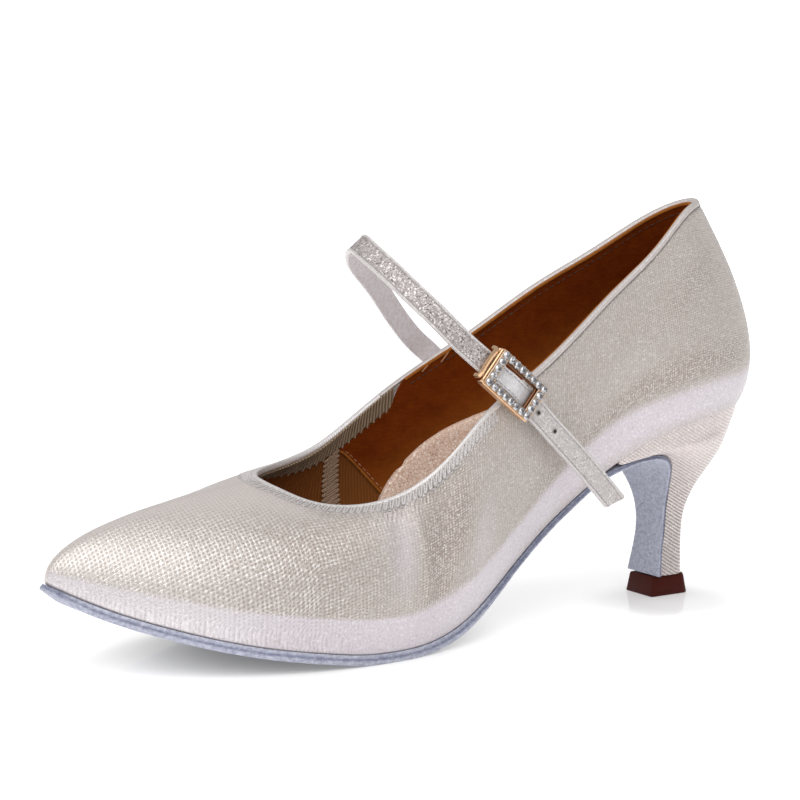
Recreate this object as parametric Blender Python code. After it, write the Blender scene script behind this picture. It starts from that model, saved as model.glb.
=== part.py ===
"""A left ballroom dance shoe: hollow lasted upper, thin waisted sole, slim heel and one buckled strap.

Metres, +Z up, +X towards the toe, +Y towards the outer side of the foot. The origin is the middle of the
heel tip's foot, on the floor.
"""

from math import cos, pi, sin
from typing import NamedTuple

import bmesh
import bpy
import numpy as np

# Driving sizes of the last
LENGTH = 0.2494
HEEL_TO_BACK = 0.0302
SEAT_WIDTH = 0.0476
WAIST_WIDTH = 0.0410
BALL_WIDTH = 0.0712
COLLAR_WIDTH = 0.0684
SEAT_HEIGHT = 0.0620
TOE_SPRING = 0.0249
QUARTER_HEIGHT = 0.0662

# Walls and layers
WALL = 0.0018
SOLE_THICKNESS = 0.0030
WAIST_THICKNESS = 0.0018
FLAP_THICKNESS = 0.0014
FLAT_CUT = 0.00015
SOLE_PROUD = 0.0006
SOLE_STEP = 0.0005
INSOLE_THICKNESS = 0.0022
BINDING_HEIGHT = 0.0030
BINDING_PROUD = 0.0003
GAP = 0.0003

# Heel tip
TIP_HEIGHT = 0.0063
TIP_LENGTH = 0.0142
TIP_WIDTH = 0.0126
TIP_FLARE = 0.0004
TIP_CORNER = 0.0022

# Strap and buckle
STRAP_WIDTH = 0.0072
STRAP_THICKNESS = 0.0017
STRAP_SEAT = 0.0007
BUCKLE_LENGTH = 0.0210
BUCKLE_WIDTH = 0.0125
BUCKLE_RIM_ENDS = 0.0038
BUCKLE_RIM_SIDES = 0.0029
BUCKLE_PLATE = 0.0010
BUCKLE_SKIRT = 0.0028
BUCKLE_CORNER = 0.0012
SKIRT_WALL = 0.0009
KEEPER_THICKNESS = 0.0013
BAND_THICKNESS = 0.0006
BAND_INSET = 0.00035
STONE_SIZE = 0.0019
STONE_PITCH = 0.0025
STONE_RISE = 0.0006
STONE_TABLE = 0.55
WINDOW_HUMP = 0.0008
WINDOW_CLEAR = 0.0004

BALL_TOP = SOLE_THICKNESS + GAP - FLAT_CUT
TIP_TOP = TIP_HEIGHT + GAP


class ProfileRow(NamedTuple):
    """Height of the feather edge: shares of LENGTH, of the seat's rise and of TOE_SPRING."""

    along: float
    seat: float
    toe: float


PROFILE = (
    ProfileRow(0.000, 1.000, 0.000),
    ProfileRow(0.053, 0.990, 0.000),
    ProfileRow(0.097, 0.974, 0.000),
    ProfileRow(0.142, 0.940, 0.000),
    ProfileRow(0.200, 0.872, 0.000),
    ProfileRow(0.266, 0.738, 0.000),
    ProfileRow(0.311, 0.615, 0.000),
    ProfileRow(0.366, 0.457, 0.000),
    ProfileRow(0.413, 0.310, 0.000),
    ProfileRow(0.469, 0.152, 0.000),
    ProfileRow(0.507, 0.072, 0.000),
    ProfileRow(0.547, 0.022, 0.000),
    ProfileRow(0.583, 0.003, 0.000),
    ProfileRow(0.615, 0.000, 0.000),
    ProfileRow(0.659, 0.000, 0.016),
    ProfileRow(0.705, 0.000, 0.078),
    ProfileRow(0.779, 0.000, 0.205),
    ProfileRow(0.834, 0.000, 0.335),
    ProfileRow(0.885, 0.000, 0.490),
    ProfileRow(0.935, 0.000, 0.675),
    ProfileRow(0.970, 0.000, 0.840),
    ProfileRow(1.005, 0.000, 1.030),
)


class Rib(NamedTuple):
    """One rib of the last, from the feather edge up to the topline.

    along and top_along are shares of LENGTH, out of half the named width, top_out of half COLLAR_WIDTH,
    and top_height of QUARTER_HEIGHT above the feather edge there. The foot handle leaves the feather edge
    outwards and up, the head handle leaves the topline along, outwards and down: shares of half BALL_WIDTH
    across, of LENGTH along and of QUARTER_HEIGHT in height.
    """

    width: str
    along: float
    out: float
    top_along: float
    top_out: float
    top_height: float
    foot_out: float
    foot_up: float
    head_along: float
    head_out: float
    head_down: float


RIBS = (
    # Back, then the outer side up to the toe
    Rib("seat", 0.019, 0.000, 0.074, 0.000, 0.992, 0.35, 0.25, -0.050, 0.00, 0.30),
    Rib("seat", 0.039, 0.567, 0.087, 0.201, 0.993, 0.31, 0.25, -0.036, 0.13, 0.29),
    Rib("seat", 0.097, 0.937, 0.126, 0.380, 0.976, 0.22, 0.25, -0.011, 0.18, 0.28),
    Rib("seat", 0.166, 1.000, 0.188, 0.523, 0.871, 0.17, 0.26, -0.004, 0.19, 0.30),
    Rib("seat", 0.246, 0.920, 0.262, 0.655, 0.832, 0.17, 0.26, 0.000, 0.14, 0.29),
    Rib("waist", 0.326, 1.000, 0.338, 0.795, 0.841, 0.22, 0.27, 0.000, 0.11, 0.27),
    Rib("waist", 0.413, 1.122, 0.413, 0.921, 0.887, 0.25, 0.28, 0.000, 0.07, 0.26),
    Rib("ball", 0.486, 0.798, 0.480, 0.994, 0.918, 0.28, 0.30, 0.004, 0.07, 0.26),
    Rib("ball", 0.555, 0.927, 0.535, 0.985, 0.819, 0.25, 0.30, 0.012, 0.14, 0.21),
    Rib("ball", 0.619, 1.000, 0.587, 0.889, 0.701, 0.20, 0.30, 0.024, 0.25, 0.14),
    Rib("ball", 0.711, 0.972, 0.639, 0.725, 0.639, 0.17, 0.29, 0.048, 0.31, 0.08),
    Rib("ball", 0.807, 0.787, 0.679, 0.483, 0.631, 0.13, 0.25, 0.080, 0.33, 0.04),
    Rib("ball", 0.895, 0.483, 0.701, 0.246, 0.658, 0.08, 0.23, 0.116, 0.26, 0.04),
    Rib("ball", 0.964, 0.191, 0.711, 0.094, 0.679, 0.04, 0.22, 0.138, 0.12, 0.06),
    # Toe, then the inner side back to the heel
    Rib("ball", 0.996, -0.034, 0.714, 0.000, 0.690, 0.02, 0.21, 0.146, 0.00, 0.06),
    Rib("ball", 0.968, -0.233, 0.711, -0.094, 0.693, 0.04, 0.22, 0.138, -0.12, 0.06),
    Rib("ball", 0.903, -0.534, 0.700, -0.250, 0.690, 0.08, 0.23, 0.116, -0.26, 0.05),
    Rib("ball", 0.819, -0.823, 0.680, -0.483, 0.697, 0.13, 0.25, 0.080, -0.33, 0.05),
    Rib("ball", 0.727, -0.964, 0.643, -0.719, 0.708, 0.17, 0.29, 0.048, -0.31, 0.08),
    Rib("ball", 0.635, -0.949, 0.595, -0.871, 0.728, 0.20, 0.30, 0.024, -0.25, 0.14),
    Rib("ball", 0.563, -0.831, 0.543, -0.974, 0.764, 0.27, 0.30, 0.012, -0.14, 0.21),
    Rib("ball", 0.490, -0.663, 0.480, -0.994, 0.817, 0.34, 0.28, 0.004, -0.06, 0.24),
    Rib("waist", 0.414, -0.937, 0.414, -0.921, 0.816, 0.36, 0.27, 0.000, -0.05, 0.24),
    Rib("waist", 0.334, -0.893, 0.340, -0.801, 0.782, 0.30, 0.26, 0.000, -0.09, 0.25),
    Rib("seat", 0.250, -0.853, 0.262, -0.658, 0.787, 0.22, 0.26, 0.000, -0.13, 0.27),
    Rib("seat", 0.166, -0.983, 0.188, -0.521, 0.817, 0.17, 0.26, -0.004, -0.18, 0.29),
    Rib("seat", 0.097, -0.924, 0.124, -0.380, 0.905, 0.22, 0.25, -0.011, -0.18, 0.28),
    Rib("seat", 0.039, -0.567, 0.085, -0.201, 0.969, 0.31, 0.25, -0.036, -0.13, 0.29),
)
WIDTHS = {"seat": SEAT_WIDTH, "waist": WAIST_WIDTH, "ball": BALL_WIDTH}
COLLAR_ENDS = (6.75, 21.25)


class HeelRow(NamedTuple):
    """One slice of the heel, from its breast back.

    Shares of LENGTH along, of the way from the tip's top to SEAT_HEIGHT up, and of half SEAT_WIDTH across:
    half for the block and flap for the sole that covers its breast.
    """

    breast_along: float
    breast_height: float
    back_along: float
    back_height: float
    half: float
    flap: float


HEEL = (
    HeelRow(0.2410, 0.736, 0.027, 0.942, 0.916, 0.925),
    HeelRow(0.2180, 0.758, 0.036, 0.885, 0.916, 0.920),
    HeelRow(0.1980, 0.764, 0.045, 0.823, 0.900, 0.905),
    HeelRow(0.1780, 0.753, 0.055, 0.751, 0.850, 0.862),
    HeelRow(0.1620, 0.718, 0.064, 0.681, 0.760, 0.778),
    HeelRow(0.1490, 0.662, 0.073, 0.608, 0.635, 0.655),
    HeelRow(0.1400, 0.585, 0.080, 0.536, 0.495, 0.520),
    HeelRow(0.1343, 0.494, 0.086, 0.455, 0.375, 0.400),
    HeelRow(0.1315, 0.386, 0.091, 0.368, 0.290, 0.315),
    HeelRow(0.1315, 0.260, 0.094, 0.251, 0.262, 0.290),
    HeelRow(0.1355, 0.134, 0.094, 0.128, 0.260, 0.300),
    HeelRow(0.1403, 0.000, 0.093, 0.000, 0.262, 0.322),
)
LIP_ALONG = 0.2515
SOLE_JOIN = 0.285
SOLE_LEAD = 0.320
WAIST_END = 0.42
BALL_START = 0.52


class StrapRow(NamedTuple):
    """A point of the strap: shares of LENGTH, half COLLAR_WIDTH, and QUARTER_HEIGHT over the feather edge.

    Where on_wall is true the strap lies on the quarter and its place across comes from the wall.
    """

    along: float
    out: float
    height: float
    on_wall: bool


STRAP = (
    StrapRow(0.338, -0.93, 0.500, True),
    StrapRow(0.362, -0.93, 0.630, True),
    StrapRow(0.390, -0.93, 0.802, True),
    StrapRow(0.418, -0.90, 0.960, False),
    StrapRow(0.452, -0.84, 1.176, False),
    StrapRow(0.484, -0.74, 1.372, False),
    StrapRow(0.518, -0.59, 1.530, False),
    StrapRow(0.553, -0.35, 1.655, False),
    StrapRow(0.581, 0.00, 1.742, False),
    StrapRow(0.587, 0.24, 1.722, False),
    StrapRow(0.580, 0.50, 1.645, False),
    StrapRow(0.566, 0.72, 1.545, False),
    StrapRow(0.547, 0.88, 1.437, False),
    StrapRow(0.524, 0.99, 1.310, False),
    StrapRow(0.499, 1.05, 1.185, False),
    StrapRow(0.459, 1.07, 0.980, False),
    StrapRow(0.429, 1.07, 0.800, False),
    StrapRow(0.390, 1.07, 0.545, False),
    StrapRow(0.347, 1.06, 0.270, False),
    StrapRow(0.303, 1.05, -0.015, False),
)
STRAP_LEAN = (0.80, 0.00, -0.60)
BUCKLE_ROW = 15.0

# Fineness of the meshes
STATIONS_PER_RIB = 3
WALL_ROWS = 9
SOLE_STATIONS = 34
FLAP_STATIONS = 20
INSOLE_STATIONS = 34
HEEL_COLUMNS = 12
STRAP_STATIONS = 58


def smooth_through(knots, values, at):
    """Natural cubic spline: the smoothest curve through the values at the knots, read at the places in at."""
    knots = np.asarray(knots, float)
    values = np.asarray(values, float)
    steps = np.diff(knots)
    slopes = np.diff(values, axis=0) / steps[:, None]
    count = len(knots)
    matrix = np.eye(count)
    right = np.zeros_like(values)
    for row in range(1, count - 1):
        matrix[row, row - 1] = steps[row - 1]
        matrix[row, row] = 2 * (steps[row - 1] + steps[row])
        matrix[row, row + 1] = steps[row]
        right[row] = 6 * (slopes[row] - slopes[row - 1])
    bends = np.linalg.solve(matrix, right)
    at = np.asarray(at, float)
    span = np.clip(np.searchsorted(knots, at, side="right") - 1, 0, count - 2)
    step = steps[span][:, None]
    before = (at - knots[span])[:, None]
    after = (knots[span + 1] - at)[:, None]
    return (
        bends[span] * after**3 / (6 * step)
        + bends[span + 1] * before**3 / (6 * step)
        + (values[span] / step - bends[span] * step / 6) * after
        + (values[span + 1] / step - bends[span + 1] * step / 6) * before
    )


def ring_through(values, at):
    """The same curve through rows that close on themselves, one apart, read at the places in at."""
    values = np.asarray(values, float)
    count = len(values)
    wrap = 6
    rows = np.arange(-wrap, count + wrap)
    return smooth_through(rows, values[rows % count], np.mod(at, count))


def place_along(share):
    """Distance in front of the origin for a share of the shoe's length."""
    return LENGTH * np.asarray(share, float) - HEEL_TO_BACK


def feather_height(x):
    """Height of the feather edge, where upper and sole meet, at the distance x."""
    x = np.asarray(x, float)
    share = np.clip((x + HEEL_TO_BACK) / LENGTH, 0.0, PROFILE[-1].along)
    rows = np.array([(row.seat, row.toe) for row in PROFILE])
    seat, toe = smooth_through([row.along for row in PROFILE], rows, share.ravel()).T
    height = BALL_TOP + (SEAT_HEIGHT - BALL_TOP) * seat + TOE_SPRING * toe
    return height.reshape(share.shape)


def heel_height(share):
    """Height of a share of the way from the heel tip's top to the seat."""
    return TIP_TOP + (SEAT_HEIGHT - TIP_TOP) * np.asarray(share, float)


def unit(vectors):
    """Vectors scaled to length one."""
    return vectors / np.linalg.norm(vectors, axis=-1, keepdims=True)


def outline(at):
    """Feather edge seen from above and its outward direction, at places counted in ribs from the back."""
    points = [(place_along(rib.along), rib.out * WIDTHS[rib.width] / 2) for rib in RIBS]
    step = 0.01
    plan = ring_through(points, at)
    tangent = unit(ring_through(points, at + step) - ring_through(points, at - step))
    outward = np.stack([-tangent[:, 1], tangent[:, 0]], axis=1)
    return plan, outward


def rib_curves(at, fine=41):
    """Outer curves of the upper from the feather edge to the topline, as cubic Bezier curves."""
    plan, outward = outline(at)
    foot = np.column_stack([plan, feather_height(plan[:, 0])])
    rows = []
    for rib in RIBS:
        x = float(place_along(rib.top_along))
        rows.append(
            (
                x,
                rib.top_out * COLLAR_WIDTH / 2,
                float(feather_height(x)) + rib.top_height * QUARTER_HEIGHT,
                rib.foot_out * BALL_WIDTH / 2,
                rib.foot_up * QUARTER_HEIGHT,
                rib.head_along * LENGTH,
                rib.head_out * BALL_WIDTH / 2,
                -rib.head_down * QUARTER_HEIGHT,
            )
        )
    read = ring_through(rows, at)
    head = read[:, 0:3]
    foot_handle = foot + np.column_stack([outward * read[:, 3:4], read[:, 4]])
    head_handle = head + read[:, 5:8]
    s = np.linspace(0.0, 1.0, fine)[None, :, None]
    return (
        (1 - s) ** 3 * foot[:, None]
        + 3 * (1 - s) ** 2 * s * foot_handle[:, None]
        + 3 * (1 - s) * s**2 * head_handle[:, None]
        + s**3 * head[:, None]
    )


def outer_wall(at, below_top):
    """Points of the outer surface at distances below the topline, a row of them for each place."""
    curves = rib_curves(at)
    runs = np.cumsum(np.linalg.norm(np.diff(curves, axis=1), axis=2), axis=1)
    runs = np.column_stack([np.zeros(len(curves)), runs])
    grid = np.empty((len(curves), below_top.shape[1], 3))
    for column, (curve, run) in enumerate(zip(curves, runs)):
        wanted = run[-1] - below_top[column]
        for axis in range(3):
            grid[column, :, axis] = np.interp(wanted, run, curve[:, axis])
    return grid


def wall_lengths(at):
    """Length of each rib curve, from the feather edge to the topline."""
    return np.linalg.norm(np.diff(rib_curves(at), axis=1), axis=2).sum(axis=1)


def surface_normals(at, below_top):
    """Outward directions of the outer wall, from its slopes along and up the shoe."""
    step = 0.02
    rise = 0.0004
    along = outer_wall(at + step, below_top) - outer_wall(at - step, below_top)
    lower = outer_wall(at, below_top + rise)
    upper = outer_wall(at, below_top - rise)
    return unit(np.cross(upper - lower, along))


def rim_inside(at):
    """Inner corner of the wall's lower rim: a wall's thickness in from the feather edge."""
    plan, outward = outline(at)
    inside = plan - WALL * outward
    return np.column_stack([inside, feather_height(inside[:, 0])])


def mesh_object(name, points, faces, colour, roughness, metallic):
    """A named object from corner points and faces, with its own material and its faces pointing out."""
    mesh = bpy.data.meshes.new(name)
    mesh.from_pydata([tuple(point) for point in points], [], faces)
    shape = bmesh.new()
    shape.from_mesh(mesh)
    bmesh.ops.remove_doubles(shape, verts=shape.verts, dist=1e-7)
    bmesh.ops.recalc_face_normals(shape, faces=shape.faces)
    shape.to_mesh(mesh)
    shape.free()
    mesh.shade_smooth()
    mesh.set_sharp_from_angle(angle=pi / 5)
    material = bpy.data.materials.new(name)
    material.use_nodes = True
    shader = material.node_tree.nodes["Principled BSDF"]
    shader.inputs["Base Color"].default_value = (*colour, 1.0)
    shader.inputs["Roughness"].default_value = roughness
    shader.inputs["Metallic"].default_value = metallic
    mesh.materials.append(material)
    made = bpy.data.objects.new(name, mesh)
    bpy.context.collection.objects.link(made)
    return made


def lofted(name, loops, finish, ring=False):
    """A closed solid through loops of equal length. Open ends are closed by ladders across the loop."""
    loops = np.asarray(loops, float)
    stations, corners = loops.shape[:2]
    points = loops.reshape(-1, 3)
    faces = []
    for station in range(stations if ring else stations - 1):
        near = station * corners
        far = (station + 1) % stations * corners
        for corner in range(corners):
            after = (corner + 1) % corners
            faces.append((near + corner, near + after, far + after, far + corner))
    if not ring:
        for base in (0, (stations - 1) * corners):
            for rung in range((corners - 1) // 2):
                low, high = base + rung, base + corners - 1 - rung
                if high - 1 > low + 1:
                    faces.append((low, low + 1, high - 1, high))
                elif high > low + 1:
                    faces.append((low, low + 1, high))
    return mesh_object(name, points, faces, *finish)


FABRIC = ((0.78, 0.75, 0.73), 0.38, 0.35)
TRIM = ((0.82, 0.80, 0.78), 0.45, 0.20)
SOCK = ((0.72, 0.66, 0.66), 0.55, 0.10)
SOLE_SUEDE = ((0.42, 0.47, 0.58), 0.90, 0.0)
TIP_PLASTIC = ((0.10, 0.03, 0.02), 0.45, 0.0)
ROSE_GOLD = ((0.86, 0.55, 0.38), 0.22, 1.0)
CRYSTAL = ((0.80, 0.82, 0.85), 0.08, 0.3)


def make_upper():
    """The hollow upper: outer rows up to the binding, then the inner face back down to the lower rim."""
    at = np.arange(0, len(RIBS), 1 / STATIONS_PER_RIB)
    lengths = wall_lengths(at)
    top = BINDING_HEIGHT + GAP / 2
    share = np.linspace(1.0, 0.0, WALL_ROWS)
    below = top + (lengths - top)[:, None] * share[None, :]
    outer = outer_wall(at, below)
    inner = outer - WALL * surface_normals(at, below)
    inner[:, 0] = rim_inside(at)
    return lofted("upper", np.concatenate([outer, inner[:, ::-1]], axis=1), FABRIC, ring=True)


def topline_piece(name, start, end, finish):
    """A folded edge that stands on the wall's upper rim, between two places round the collar."""
    near_end = 0.5
    spread = np.linalg.norm(np.diff(rib_curves(np.array([start, start + near_end]))[:, -1], axis=0))
    shorten = near_end * GAP / 2 / spread
    count = int(round((end - start) * STATIONS_PER_RIB)) + 1
    at = np.linspace(start + shorten, end - shorten, count)
    shoulder = BINDING_HEIGHT / 6
    heights = np.array([BINDING_HEIGHT - GAP / 2, BINDING_HEIGHT / 2, shoulder, 0.0])
    below = np.tile(heights, (count, 1))
    outer = outer_wall(at, below)
    normals = surface_normals(at, np.maximum(below, shoulder))
    outside = np.array([BINDING_PROUD, BINDING_PROUD, BINDING_PROUD, BINDING_PROUD - shoulder])
    inside = -WALL - outside
    near = outer + normals * outside[None, :, None]
    far = outer + normals * inside[None, :, None]
    return lofted(name, np.concatenate([near, far[:, ::-1]], axis=1), finish)


def side_widths(x, offset):
    """Outer and inner edge of the feather outline, moved outwards by offset, at each distance x."""
    half = len(RIBS) / 2
    fine = 1200
    edges = []
    for places in (np.linspace(0, half, fine), np.linspace(len(RIBS), half, fine)):
        plan, outward = outline(places)
        edge = plan + offset * outward
        edge[0, 1] = edge[-1, 1] = 0.0
        tip_y = outline(np.array([half]))[0][0, 1]
        edge[-1, 1] = tip_y
        edges.append(np.interp(x, np.maximum.accumulate(edge[:, 0]), edge[:, 1]))
    return edges


def outline_reach(offset):
    """Distances of the outline's back and toe when it is moved outwards by offset."""
    ends, outward = outline(np.array([0.0, len(RIBS) / 2]))
    return (ends + offset * outward)[:, 0]


def slope_normals(path):
    """Directions square to a path in the shoe's middle plane: downwards where the path runs backwards."""
    tangent = unit(np.gradient(path, axis=0))
    return np.column_stack([-tangent[:, 1], tangent[:, 0]])


def breast_path(at):
    """Inner face of the sole from the waist, under the lip and down the breast, with its half width."""
    join = place_along(np.array([SOLE_LEAD, SOLE_JOIN]))
    widths = side_widths(join, SOLE_PROUD)[0]
    seam = np.column_stack([join, feather_height(join)])
    lead = np.column_stack([seam + GAP * slope_normals(seam), widths])
    rows = [
        (place_along(row.breast_along), heel_height(row.breast_height), row.flap * SEAT_WIDTH / 2)
        for row in HEEL
    ]
    points = np.vstack([lead, rows])
    run = np.concatenate([[0.0], np.cumsum(np.linalg.norm(np.diff(points[:, :2], axis=0), axis=1))])
    return smooth_through(run, points, at * (run[-1] - run[1]) + run[1])


def make_outsole():
    """The suede sole: a ribbon along the feather edge, then under the heel's lip and down its breast."""
    turn = np.linspace(0, pi / 2, SOLE_STATIONS)
    tip = outline_reach(SOLE_PROUD)[1]
    join = float(place_along(SOLE_JOIN))
    x = tip - (tip - join) * (1 - np.cos(turn))
    outer_y, inner_y = side_widths(x, SOLE_PROUD)
    flap = breast_path(np.linspace(0, 1, FLAP_STATIONS))
    seam = np.column_stack([x, feather_height(x)])
    path = np.vstack([seam + GAP * slope_normals(seam), flap[1:, :2]])
    outer_y = np.concatenate([outer_y, flap[1:, 2]])
    inner_y = np.concatenate([inner_y, -flap[1:, 2]])
    along = (path[:, 0] + HEEL_TO_BACK) / LENGTH
    rear = np.arange(len(path)) >= SOLE_STATIONS
    thickness = np.interp(along, (WAIST_END, BALL_START), (WAIST_THICKNESS, SOLE_THICKNESS))
    thickness = np.where(rear, FLAP_THICKNESS, thickness)
    blend = slice(SOLE_STATIONS - 3, SOLE_STATIONS + 3)
    thickness[blend] = np.linspace(WAIST_THICKNESS, FLAP_THICKNESS, blend.stop - blend.start)
    down = slope_normals(path)
    room = np.clip((outer_y - inner_y) / (8 * SOLE_STEP), 0.0, 1.0) * SOLE_STEP
    middle = (outer_y + inner_y) / 2
    loops = []
    for side, edge in ((1, outer_y), (-1, inner_y)):
        rows = [
            (edge - side * room, 0.0),
            (edge - side * room, 0.42),
            (edge, 0.50),
            (edge, 0.85),
            (edge - side * room * 0.7, 1.0),
            (middle + (edge - middle) * 0.6, 1.0),
        ]
        loops.append([(y, depth * thickness) for y, depth in rows])
    section = loops[0] + loops[1][::-1]
    points = np.stack(
        [np.column_stack([path[:, 0] + down[:, 0] * d, y, path[:, 1] + down[:, 1] * d]) for y, d in section],
        axis=1,
    )
    points[..., 2] = np.maximum(points[..., 2], 0.0)
    return lofted("outsole", points, SOLE_SUEDE)


def make_insole():
    """The sock: a thin pad on the sole and the heel's seat, inside the upper's wall."""
    clear = -(WALL + 2 * GAP)
    back, tip = outline_reach(clear)
    turn = np.linspace(0, pi, INSOLE_STATIONS)
    first = back + GAP / 4
    last = tip - WALL
    x = first + (last - first) * (0.5 - 0.5 * np.cos(turn))
    outer_y, inner_y = side_widths(x, clear)
    path = np.column_stack([x, feather_height(x)])
    tangent = unit(np.gradient(path, axis=0))
    up = np.column_stack([-tangent[:, 1], tangent[:, 0]])
    middle = (outer_y + inner_y) / 2
    shares = (1.0, 0.55, 0.0, -0.55, -1.0)
    points = []
    for lift, row in ((0.0, shares), (INSOLE_THICKNESS, shares[::-1])):
        for share in row:
            y = middle + (outer_y - middle) * share
            points.append(np.column_stack([x + up[:, 0] * lift, y, path[:, 1] + up[:, 1] * lift]))
    return lofted("insole", np.stack(points, axis=1), SOCK)


def heel_slices():
    """Slices of the heel from the seat down to the tip, each a closed loop round a slanted or level plane."""
    lip = float(place_along(LIP_ALONG))
    back = float(place_along(RIBS[0].along))
    share = np.sin(np.linspace(0, pi / 2, HEEL_COLUMNS))
    seat_x = lip + (back - lip) * share
    outer_y, inner_y = side_widths(seat_x, 0.0)
    outer_y[-1] = inner_y[-1] = 0.0
    seat = np.column_stack([seat_x, feather_height(seat_x) - GAP])
    path = np.array([(place_along(row.breast_along), heel_height(row.breast_height)) for row in HEEL])
    breast = path - GAP * slope_normals(path)
    slices = [(seat, 1.0)]
    for row, front in zip(HEEL, breast):
        rear = np.array([place_along(row.back_along), heel_height(row.back_height)])
        line = front + (rear - front) * share[:, None]
        slices.append((line, row.half * SEAT_WIDTH / 2 / outer_y[0]))
    loops = []
    for line, narrow in slices:
        outer = np.column_stack([line[:, 0], outer_y * narrow, line[:, 1]])
        inner = np.column_stack([line[:, 0], inner_y * narrow, line[:, 1]])
        loops.append(np.vstack([outer, inner[-2::-1]]))
    return np.array(loops)


def make_heel():
    """The slim heel block, from the seat's outline down to the stem above the tip."""
    return lofted("heel", heel_slices(), FABRIC)


def make_heel_tip():
    """The top piece: a short block with a straight front and a round back, a little wider at the floor."""
    turns = np.linspace(0, pi / 2, 6)
    loops = []
    for height, flare in ((TIP_HEIGHT, -TIP_FLARE), (0.0, 0.0)):
        front = TIP_LENGTH / 2 + flare
        half = TIP_WIDTH / 2 + flare
        side = [(front, half)]
        side += [
            (-front + TIP_CORNER - TIP_CORNER * sin(turn), half - TIP_CORNER + TIP_CORNER * cos(turn))
            for turn in turns
        ]
        loops.append([(x, y, height) for x, y in side + [(x, -y) for x, y in side[::-1]]])
    return lofted("heel_tip", loops, TIP_PLASTIC)


def wall_side(x, z, side):
    """Distance across from the middle to the outer wall, at the distances x and heights z of one side."""
    half = len(RIBS) / 2
    at = np.linspace(1.0, half - 1.0, 160) if side > 0 else np.linspace(half + 1.0, len(RIBS) - 1.0, 160)
    skin = rib_curves(at, fine=81).reshape(-1, 3)
    found = []
    for one_x, one_z in zip(x, z):
        far = (skin[:, 0] - one_x) ** 2 + (skin[:, 2] - one_z) ** 2
        near = np.argsort(far)[:4]
        weight = 1 / (far[near] + 1e-9)
        found.append((skin[near, 1] * weight).sum() / weight.sum())
    return np.array(found)


def strap_line(at):
    """Middle line of the strap at places counted in rows of its table."""
    along = np.array([row.along for row in STRAP])
    x = place_along(along)
    z = feather_height(x) + np.array([row.height for row in STRAP]) * QUARTER_HEIGHT
    y = np.array([row.out for row in STRAP]) * COLLAR_WIDTH / 2
    resting = np.array([row.on_wall for row in STRAP])
    seat = BINDING_PROUD + STRAP_SEAT + STRAP_THICKNESS / 2
    y[resting] = wall_side(x[resting], z[resting], -1) - seat
    return smooth_through(np.arange(len(STRAP)), np.column_stack([x, y, z]), at)


def strap_frame(at):
    """Middle line of the strap with its run, its width's direction and its outward direction."""
    step = 0.02
    last = len(STRAP) - 1
    line = strap_line(at)
    run = unit(strap_line(np.minimum(at + step, last)) - strap_line(np.maximum(at - step, 0)))
    lean = np.array(STRAP_LEAN)
    width = unit(lean - (run @ lean)[:, None] * run)
    return line, run, width, np.cross(width, run)


def make_strap():
    """The instep strap from its sewn root on the inner quarter to its free tail, humped inside the buckle."""
    last = len(STRAP) - 1
    at = np.sort(np.concatenate([np.linspace(0, last, STRAP_STATIONS), [0.06, last - 0.06, last - 0.16]]))
    line, run, width, outward = strap_frame(at)
    centre, buckle_run, _, _ = (item[0] for item in strap_frame(np.array([BUCKLE_ROW])))
    reach = (line - centre) @ buckle_run
    window = BUCKLE_LENGTH / 2 - BUCKLE_RIM_ENDS
    hump = np.clip(1 - (reach / window) ** 2, 0, 1) ** 2 * (line[:, 1] > 0)
    line = line + outward * hump[:, None] * WINDOW_HUMP
    from_end = np.minimum(at, last - at)
    half = STRAP_WIDTH / 2 * np.interp(from_end, (0.0, 0.06, 0.16), (0.80, 0.94, 1.0))
    narrow = BUCKLE_WIDTH / 2 - BUCKLE_RIM_SIDES - WINDOW_CLEAR
    half = half + (np.minimum(half, narrow) - half) * np.clip(5 * hump, 0, 1)
    thick = STRAP_THICKNESS / 2
    edge = thick * 0.55
    flat = 0.88
    corners = [(1, -edge), (1, edge), (flat, thick), (-flat, thick)]
    corners += [(-across, -lift) for across, lift in corners]
    loops = [line + width * (half * across)[:, None] + outward * lift for across, lift in corners]
    return lofted("strap", np.stack(loops, axis=1), FABRIC)


def rounded_rectangle(length, width, corner, per_corner=4):
    """Points round a rectangle with round corners, centred on the origin."""
    points = []
    for quarter, (sx, sy) in enumerate(((1, 1), (-1, 1), (-1, -1), (1, -1))):
        middle = (sx * (length / 2 - corner), sy * (width / 2 - corner))
        for turn in np.linspace(0, pi / 2, per_corner) + quarter * pi / 2:
            points.append((middle[0] + corner * cos(turn), middle[1] + corner * sin(turn)))
    return np.array(points)


def on_buckle(local):
    """Points given along, across and out from the strap's middle line at the buckle, in the shoe's frame."""
    centre, run, width, outward = (item[0] for item in strap_frame(np.array([BUCKLE_ROW])))
    return centre + local @ np.array([run, width, outward])


def plate_bottom():
    """Height of the buckle plate's underside over the strap's middle line."""
    return STRAP_THICKNESS / 2 + GAP


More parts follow.
